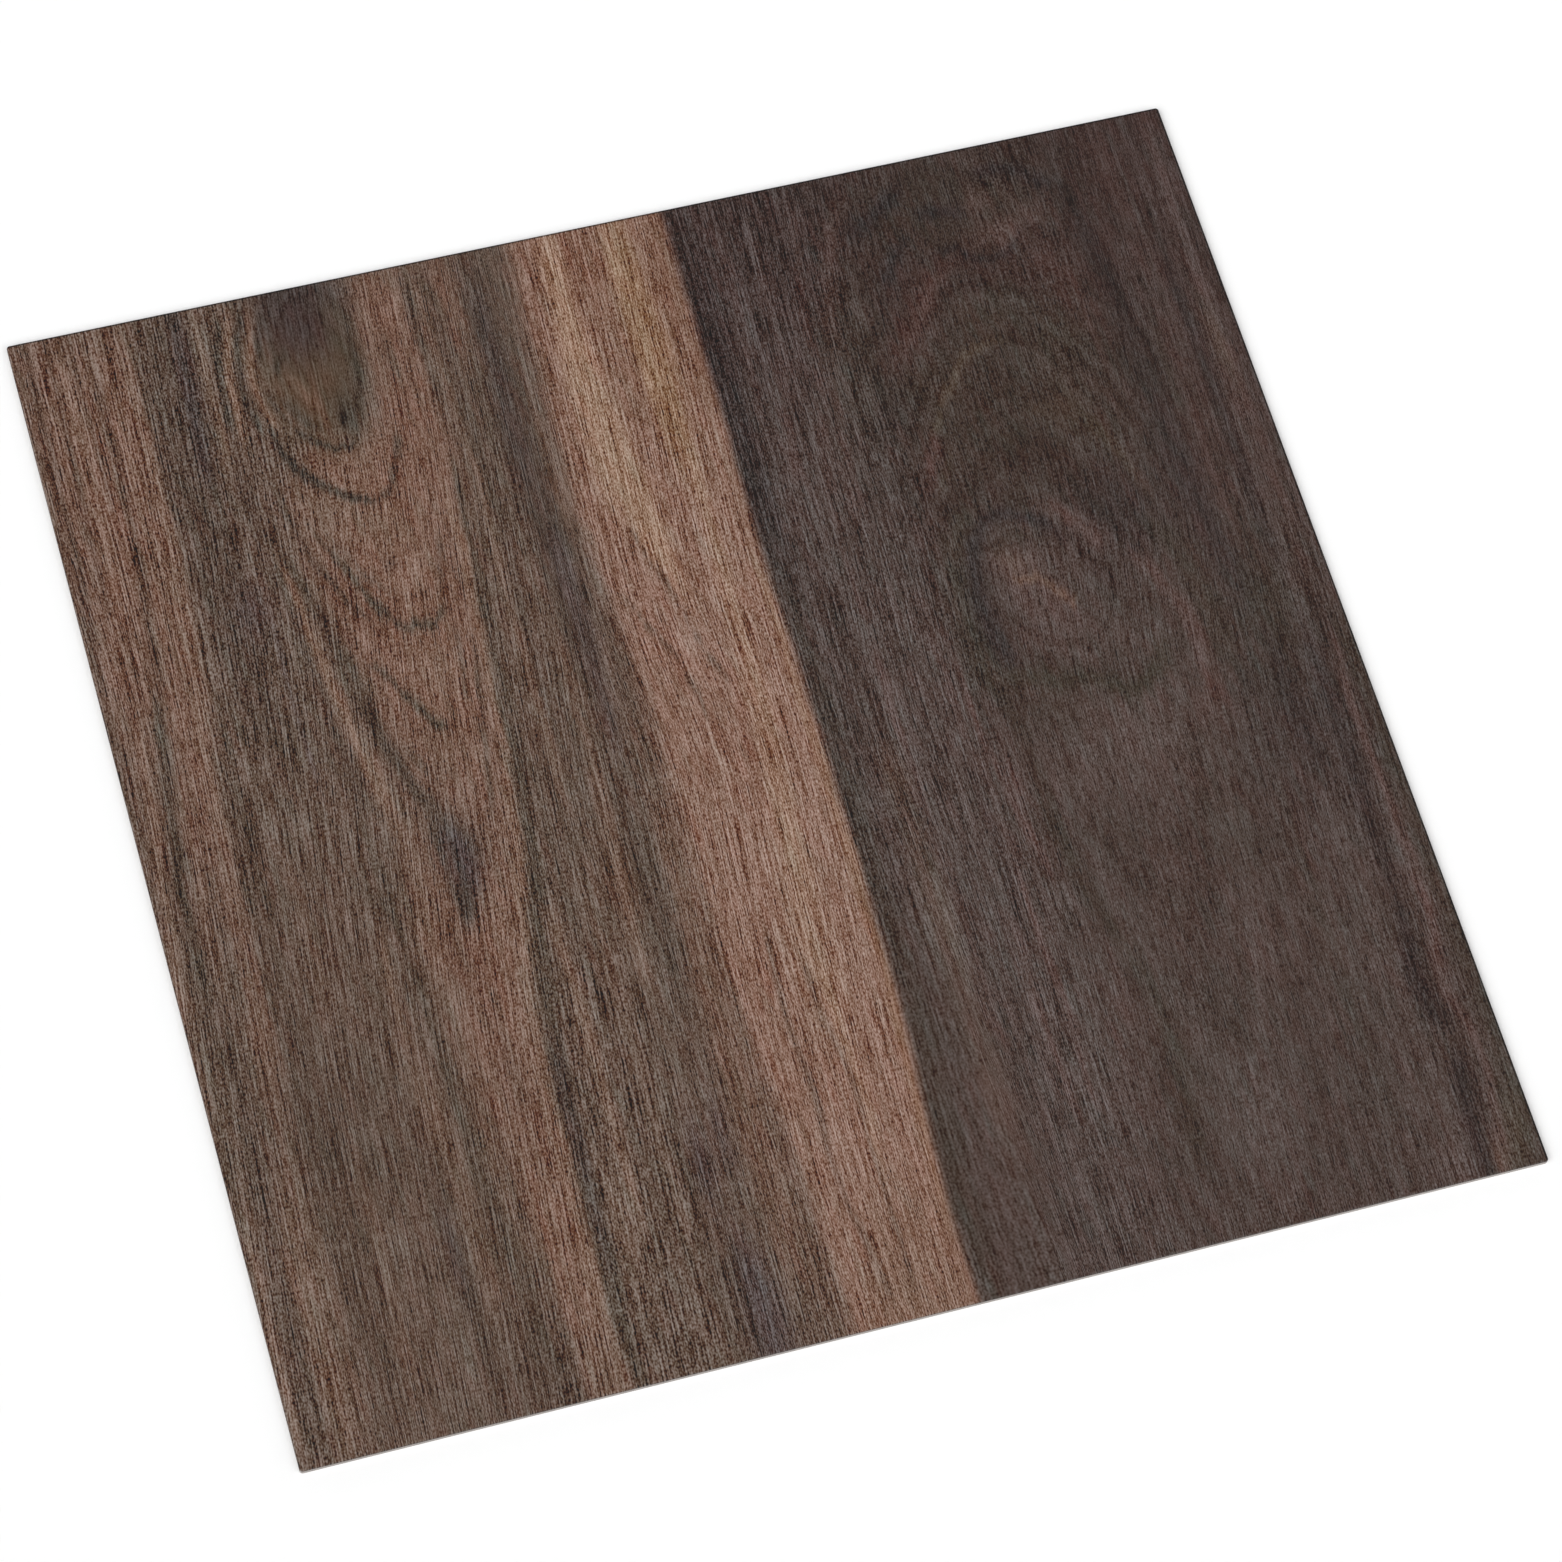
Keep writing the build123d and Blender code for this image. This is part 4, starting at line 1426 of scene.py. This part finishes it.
@dataclass(frozen=True)
class PrintedWearFace:
    """Gravure-printed PVC film under a clear PVC wear layer, hot pressed under a matt steel plate.

    To the eye it is dark wood ink under a satin, slightly soft sheen, with the fibres pressed in as
    ticks too fine to feel. Real walnut pores are 0.1 to 0.2 mm wide. The marks are drawn about 0.3 to
    0.4 mm wide, as coarse as they need to be to show.
    """

    roughness: float = 0.38
    duller: float = 0.05
    glossier: float = 0.02
    dull_steps: tuple[float, float] = (-0.12, 0.08)
    film_veil: float = 0.0138
    film_pass: float = 0.97
    darkest: float = 0.12
    evenness: tuple[float, float, float] = (0.93, 1.06, 1.14)
    deepening: float = 1.3
    lift: float = 0.004
    grains: MarkSize = MarkSize(0.29, 0.7, 0.38)
    ticks: MarkSize = MarkSize(0.30, 2.6, 0.22)
    fibres: MarkSize = MarkSize(0.32, 9.0, 0.26)
    strands: MarkSize = MarkSize(0.42, 28.0, 0.28)
    rings: MarkSize = MarkSize(1.2, 60.0, 0.07)
    seasons: MarkSize = MarkSize(3.0, 110.0, 0.05)
    pores: MarkSize = MarkSize(0.40, 3.0, 0.05)
    pore_levels: tuple[float, float] = (0.62, 0.78)
    tick_depth: float = 0.02 * MM
    tick_relief: float = 0.4

    def streaks(self, add: Adder, places: bpy.types.NodeSocket, size: MarkSize) -> bpy.types.NodeSocket:
        """Noise stretched along the grain to one size of mark.

        Args:
            add: Adds a node to the material.
            places: Places across and along the grain, in metres.
            size: The mark's size.

        Returns:
            The noise's value, about 0.5.
        """
        scale = (1.0 / (size.width * MM), 1.0 / (size.length * MM), 1.0)
        stretched = add("Mapping", {"Vector": places, "Scale": scale}).outputs[0]
        inputs = {"Vector": stretched, "Scale": 1.0, "Detail": 0.0, "Roughness": 0.5}
        return add("TexNoise", inputs, noise_dimensions="2D").outputs["Fac"]

    def marks(self, add: Adder, grain_map: str, layer: str, *sizes: MarkSize) -> bpy.types.NodeSocket:
        """Marks of some sizes on one map, added up about 0 and weighted by one of the print's layers.

        Args:
            add: Adds a node to the material.
            grain_map: Name of the map.
            layer: Name of the layer that says how strongly they show.
            sizes: The marks' sizes.

        Returns:
            How much lighter or darker the marks make each place, as a step in sRGB.
        """
        places = add("UVMap", uv_map=grain_map).outputs["UV"]
        total = -sum(size.contrast for size in sizes) / 2
        for size in sizes:
            mark = self.streaks(add, places, size)
            inputs = {0: mark, 1: size.contrast, 2: total}
            total = add("Math", inputs, operation="MULTIPLY_ADD").outputs[0]
        strength = add("Attribute", attribute_name=layer).outputs["Fac"]
        return add("Math", {0: total, 1: strength}, operation="MULTIPLY").outputs[0]

    def step(self, add: Adder) -> bpy.types.NodeSocket:
        """All the marks together. Dark ones go deeper than pale ones rise, as ink does in a pore.

        A step s counts as s (1 - deepening s), and the lift keeps the mean.

        Args:
            add: Adds a node to the material.

        Returns:
            How much lighter or darker the marks make each place, as a step in sRGB.
        """
        fine = self.marks(add, FIBRE_MAP, GRAIN_LAYER, self.grains, self.ticks, self.fibres)
        long = self.marks(add, FIBRE_MAP, STREAK_LAYER, self.strands)
        wide = self.marks(add, RING_MAP, RING_LAYER, self.rings, self.seasons)
        noise = self.streaks(add, add("UVMap", uv_map=FIBRE_MAP).outputs["UV"], self.pores)
        reach = from_to(*self.pore_levels, 0.0, -self.pores.contrast)
        pores = add("MapRange", {"Value": noise} | reach).outputs[0]
        total = fine
        for part in (long, wide, pores):
            total = add("Math", {0: total, 1: part}, operation="ADD").outputs[0]
        kept = add("Math", {0: total, 1: -self.deepening, 2: 1.0}, operation="MULTIPLY_ADD").outputs[0]
        return add("Math", {0: total, 1: kept, 2: self.lift}, operation="MULTIPLY_ADD").outputs[0]

    def build(self) -> bpy.types.Material:
        """Builds the material.

        The marks are seen to step red, green and blue about alike. The film's gloss takes more of the
        blue step than of the red one, so the evenness gives blue more. The film throws back a little
        white of its own and lets the rest through, so the ink's colour is the light seen, less that
        veil, over the share that passes.

        Returns:
            The finish of the wear face and the arris.
        """
        material, add = new_material("printed_pvc_wear_film")
        # The tint carries the painted shade along the east and north rims
        tint = add("Attribute", attribute_name=TINT_AND_RIM_SHADE_LAYER).outputs["Color"]
        step = self.step(add)
        inputs = {0: step, 1: self.evenness, 2: tint}
        marked = add("VectorMath", inputs, operation="MULTIPLY_ADD").outputs[0]
        inputs = {0: marked, 1: (self.darkest,) * 3}
        inked = add("VectorMath", inputs, operation="MAXIMUM").outputs[0]
        seen = add("Gamma", {"Color": inked, "Gamma": SRGB_POWER}).outputs[0]
        inputs = {0: seen, 1: (1.0 / self.film_pass,) * 3, 2: (-self.film_veil / self.film_pass,) * 3}
        colour = add("VectorMath", inputs, operation="MULTIPLY_ADD").outputs[0]
        reach = from_to(*self.dull_steps, self.roughness + self.duller, self.roughness - self.glossier)
        dull = add("MapRange", {"Value": step} | reach).outputs[0]
        inputs = {"Height": step, "Strength": self.tick_relief, "Distance": self.tick_depth}
        relief = add("Bump", inputs).outputs[0]
        cover_surface(add, {"Base Color": colour, "Roughness": dull, "Normal": relief, "IOR": PVC_IOR})
        return material


@dataclass(frozen=True)
class KnifeCutEdge:
    """Chalk-filled PVC as the die's knife leaves it.

    To the eye it is a matt, pale grey wall with faint upright drag marks, and a thin dark line under the
    arris where the printed film is seen from its side. The colour follows the drag marks' relief, darker in
    their grooves and lighter on their ridges: painted shade and light.
    """

    compound: str = "#96908c"
    film_line: str = "#4b413b"
    roughness: float = 0.7
    film_depth: float = 0.16 * MM
    drag_width: float = 0.6 * MM
    drag_length: float = 4.0 * MM
    drag_depth: float = 0.03 * MM
    drag_relief: float = 0.6
    drag_levels: tuple[float, float] = (0.25, 0.75)
    # Painted shade and light of the drag marks: shares of the colour at their low and high levels
    shades: tuple[float, float] = (0.86, 1.12)

    def build(self, thickness: float, arris: float) -> bpy.types.Material:
        """Builds the material.

        Args:
            thickness: The sheet's thickness.
            arris: The arris's radius.

        Returns:
            The finish of the cut walls.
        """
        material, add = new_material("chalk_filled_pvc_knife_cut")
        place = add("TexCoord").outputs["Object"]
        scale = (1 / self.drag_width, 1 / self.drag_width, 1 / self.drag_length)
        stretched = add("Mapping", {"Vector": place, "Scale": scale}).outputs[0]
        inputs = {"Vector": stretched, "Scale": 1.0, "Detail": 3.0, "Roughness": 0.6}
        drag = add("TexNoise", inputs).outputs["Fac"]
        height = add("SeparateXYZ", {"Vector": place}).outputs["Z"]
        top = thickness - arris
        film = add("MapRange", {"Value": height} | from_to(top - self.film_depth, top, 0.0, 1.0)).outputs[0]
        # Painted shade and light: the colour is darker where the drag relief is low and lighter where it is
        # high
        shade = add("MapRange", {"Value": drag} | from_to(*self.drag_levels, *self.shades)).outputs[0]
        inputs = {"Vector": paint_code(self.compound)[:3], "Scale": shade}
        body = add("VectorMath", inputs, operation="SCALE").outputs[0]
        inputs = {"Factor": film, "A": body, "B": paint_code(self.film_line)}
        colour = add("Mix", inputs, data_type="RGBA").outputs["Result"]
        inputs = {"Height": drag, "Strength": self.drag_relief, "Distance": self.drag_depth}
        bump = add("Bump", inputs).outputs[0]
        surface = {"Base Color": colour, "Normal": bump, "Roughness": self.roughness, "IOR": PVC_IOR}
        cover_surface(add, surface)
        return material


@dataclass(frozen=True)
class CalenderedBack:
    """Underside of filled PVC, calendered against a fabric belt so that glue keys to it.

    To the eye it is a plain, even, matt grey with a fine linen tick of about 1.2 mm, whose sunk parts are
    coloured darker as painted shade. A wave texture of scale s repeats every 0.314 / s.
    """

    compound: str = "#85817d"
    roughness: float = 0.75
    tick: float = 1.2 * MM
    tick_depth: float = 0.06 * MM
    tick_relief: float = 0.6
    cloud_scale: float = 60.0
    cloud_levels: tuple[float, float] = (0.3, 0.7)
    cloud_shades: tuple[float, float] = (0.93, 1.05)
    # Painted shade: shares of the colour kept where the tick is sunk and where it is raised
    tick_painted_shades: tuple[float, float] = (0.9, 1.04)

    def build(self) -> bpy.types.Material:
        """Builds the material.

        Returns:
            The finish of the back.
        """
        material, add = new_material("chalk_filled_pvc_calendered")
        place = add("TexCoord").outputs["Object"]
        inputs = {"Vector": place, "Scale": 0.314 / self.tick, "Distortion": 1.2, "Detail": 2.0}
        inputs["Detail Scale"] = 1.5
        waves = [add("TexWave", inputs, bands_direction=axis).outputs["Fac"] for axis in ("X", "Y")]
        weave = add("Math", {0: waves[0], 1: waves[1]}, operation="MULTIPLY").outputs[0]
        inputs = {"Vector": place, "Scale": self.cloud_scale, "Detail": 4.0, "Roughness": 0.6}
        cloud = add("TexNoise", inputs).outputs["Fac"]
        shade = add("MapRange", {"Value": cloud} | from_to(*self.cloud_levels, *self.cloud_shades)).outputs[0]
        # Painted shade: the tick is coloured darker where its relief is sunk and a little lighter where it is
        # raised
        tick_painted_shade = add("MapRange", {"Value": weave} | from_to(0.0, 1.0, *self.tick_painted_shades)).outputs[0]
        level = add("Math", {0: shade, 1: tick_painted_shade}, operation="MULTIPLY").outputs[0]
        inputs = {"Vector": paint_code(self.compound)[:3], "Scale": level}
        colour = add("VectorMath", inputs, operation="SCALE").outputs[0]
        inputs = {"Height": weave, "Strength": self.tick_relief, "Distance": self.tick_depth}
        bump = add("Bump", inputs).outputs[0]
        surface = {"Base Color": colour, "Normal": bump, "Roughness": self.roughness, "IOR": PVC_IOR}
        cover_surface(add, surface)
        return material


# The studio
def put_in_scene(name: str, data: bpy.types.ID) -> bpy.types.Object:
    """Adds an object with the given data to the scene, at the origin."""
    item = bpy.data.objects.new(name, data)
    bpy.context.scene.collection.objects.link(item)
    return item


def sight_line(azimuth: float, elevation: float) -> Vector:
    """Unit vector from the tile to a place at an azimuth and elevation in degrees, 0 being due south."""
    turn, tilt = math.radians(azimuth), math.radians(elevation)
    return Vector((math.sin(turn) * math.cos(tilt), -math.cos(turn) * math.cos(tilt), math.sin(tilt)))


@dataclass(frozen=True)
class StudioCamera:
    """A long lens over the tile's south-west side, looking down on the wear face."""

    aim: tuple[float, float] = (2.6 * MM, -11.2 * MM)
    azimuth: float = -24.59
    elevation: float = 63.67
    roll: float = 9.41
    distance: float = 1.3093
    lens: float = 124.06
    sensor: float = 36.0
    clips: tuple[float, float] = (0.05, 50.0)

    def build(self, height: float) -> bpy.types.Object:
        """Adds the camera and makes it the scene's.

        Args:
            height: Height of the wear face.

        Returns:
            The camera.
        """
        back = sight_line(self.azimuth, self.elevation)
        level = Vector((0.0, 0.0, 1.0)).cross(back).normalized()
        spin = math.radians(self.roll)
        right = level * math.cos(spin) + back.cross(level) * math.sin(spin)
        axes = Matrix((right, back.cross(right), back)).transposed()
        lens = bpy.data.cameras.new("studio_camera")
        lens.lens, lens.sensor_width = self.lens, self.sensor
        lens.clip_start, lens.clip_end = self.clips
        camera = put_in_scene("studio_camera", lens)
        place = Vector((*self.aim, height)) + back * self.distance
        camera.matrix_world = Matrix.Translation(place) @ axes.to_4x4()
        bpy.context.scene.camera = camera
        return camera


@dataclass(frozen=True)
class LightBank:
    """A broad, even bank of light far off, as a sun lamp with a wide disc."""

    name: str
    strength: float
    azimuth: float
    elevation: float
    spread: float = 60.0

    def build(self) -> None:
        """Adds the lamp, turned to shine on the tile."""
        lamp = bpy.data.lights.new(self.name, "SUN")
        lamp.energy, lamp.angle = self.strength, math.radians(self.spread)
        toward = sight_line(self.azimuth, self.elevation)
        put_in_scene(self.name, lamp).rotation_euler = toward.to_track_quat("Z", "Y").to_euler()


@dataclass(frozen=True)
class StudioLight:
    """Even light from two broad banks behind the camera and a pale room.

    The banks stand low enough behind the camera that the satin film doesn't mirror them there.
    """

    room: float = 0.17
    banks: tuple[LightBank, ...] = (
        LightBank("key_bank", 2.45, -62.0, 42.0),
        LightBank("fill_bank", 1.45, 42.0, 38.0),
    )

    def build(self) -> None:
        """Adds the banks and the room."""
        for bank in self.banks:
            bank.build()
        world = bpy.data.worlds.new("studio_room")
        world.use_nodes = True
        world.node_tree.nodes.clear()
        add = partial(add_node, world.node_tree)
        glow = add("Background", {"Color": paint_code("#ffffff"), "Strength": self.room})
        add("OutputWorld", {"Surface": glow.outputs[0]})
        bpy.context.scene.world = world


@dataclass(frozen=True)
class StudioCove:
    """Floor of matt white board that curves up into a low round wall, and keeps the tile's soft shadow."""

    paint: str = "#ffffff"
    roughness: float = 0.9
    floor_radius: float = 3.6
    bend_radius: float = 0.8
    wall_height: float = 1.4
    clearance: float = 0.02 * MM
    sides: int = 96
    bend_steps: int = 8

    def build(self) -> bpy.types.Object:
        """Adds the cove: a profile of floor, quarter round and wall turned round the tile's upright axis.

        Returns:
            The cove.
        """
        material, add = new_material("matt_white_board")
        paint = paint_code(self.paint)
        cover_surface(add, {"Base Color": paint, "Roughness": self.roughness, "Specular IOR Level": 0.0})
        bend = np.linspace(0.0, math.pi / 2, self.bend_steps + 1)
        outer = self.floor_radius + self.bend_radius
        reach = np.append(self.floor_radius + self.bend_radius * np.sin(bend), outer)
        height = np.append(self.bend_radius * (1.0 - np.cos(bend)), self.wall_height) - self.clearance
        turn = np.linspace(0.0, 2 * math.pi, self.sides, endpoint=False)
        height = np.tile(height[:, None], self.sides)
        rings = np.stack([np.outer(reach, np.cos(turn)), np.outer(reach, np.sin(turn)), height], -1)
        number = np.arange(height.size).reshape(-1, self.sides)
        ahead = np.roll(number, -1, axis=1)
        wall = np.stack([number[:-1], ahead[:-1], ahead[1:], number[1:]], -1).reshape(-1, 4)
        mesh = bpy.data.meshes.new("studio_cove")
        mesh.from_pydata(rings.reshape(-1, 3), [], [number[0].tolist(), *wall[:, ::-1].tolist()])
        mesh.polygons.foreach_set("use_smooth", np.ones(len(mesh.polygons), bool))
        mesh.materials.append(material)
        cove = put_in_scene("studio_cove", mesh)
        return cove


def main() -> None:
    """Builds the tile, dresses it and sets the studio."""
    logging.basicConfig(level=logging.INFO, format="%(message)s")
    bpy.context.scene.view_settings.view_transform = "Standard"
    low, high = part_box(NODE_NAME)
    outline = Outline(high.x - low.x, high.y - low.y, high.z - low.z)
    StudioCamera().build(outline.thickness)
    StudioLight().build()
    StudioCove().build()
    LOG.info("studio: camera, two light banks, room and cove")
    sheet = TileSheet(outline)
    tile = sheet.build()
    finishes = {
        TileSurface.WEAR_FACE: PrintedWearFace().build(),
        TileSurface.CUT_WALL: KnifeCutEdge().build(outline.thickness, outline.arris_radius),
        TileSurface.BACK: CalenderedBack().build(),
    }
    sheet.dress(tile, finishes)
    LOG.info("%s: %d points, %d faces", tile.name, len(tile.data.vertices), len(tile.data.polygons))


if __name__ == "__main__":
    main()
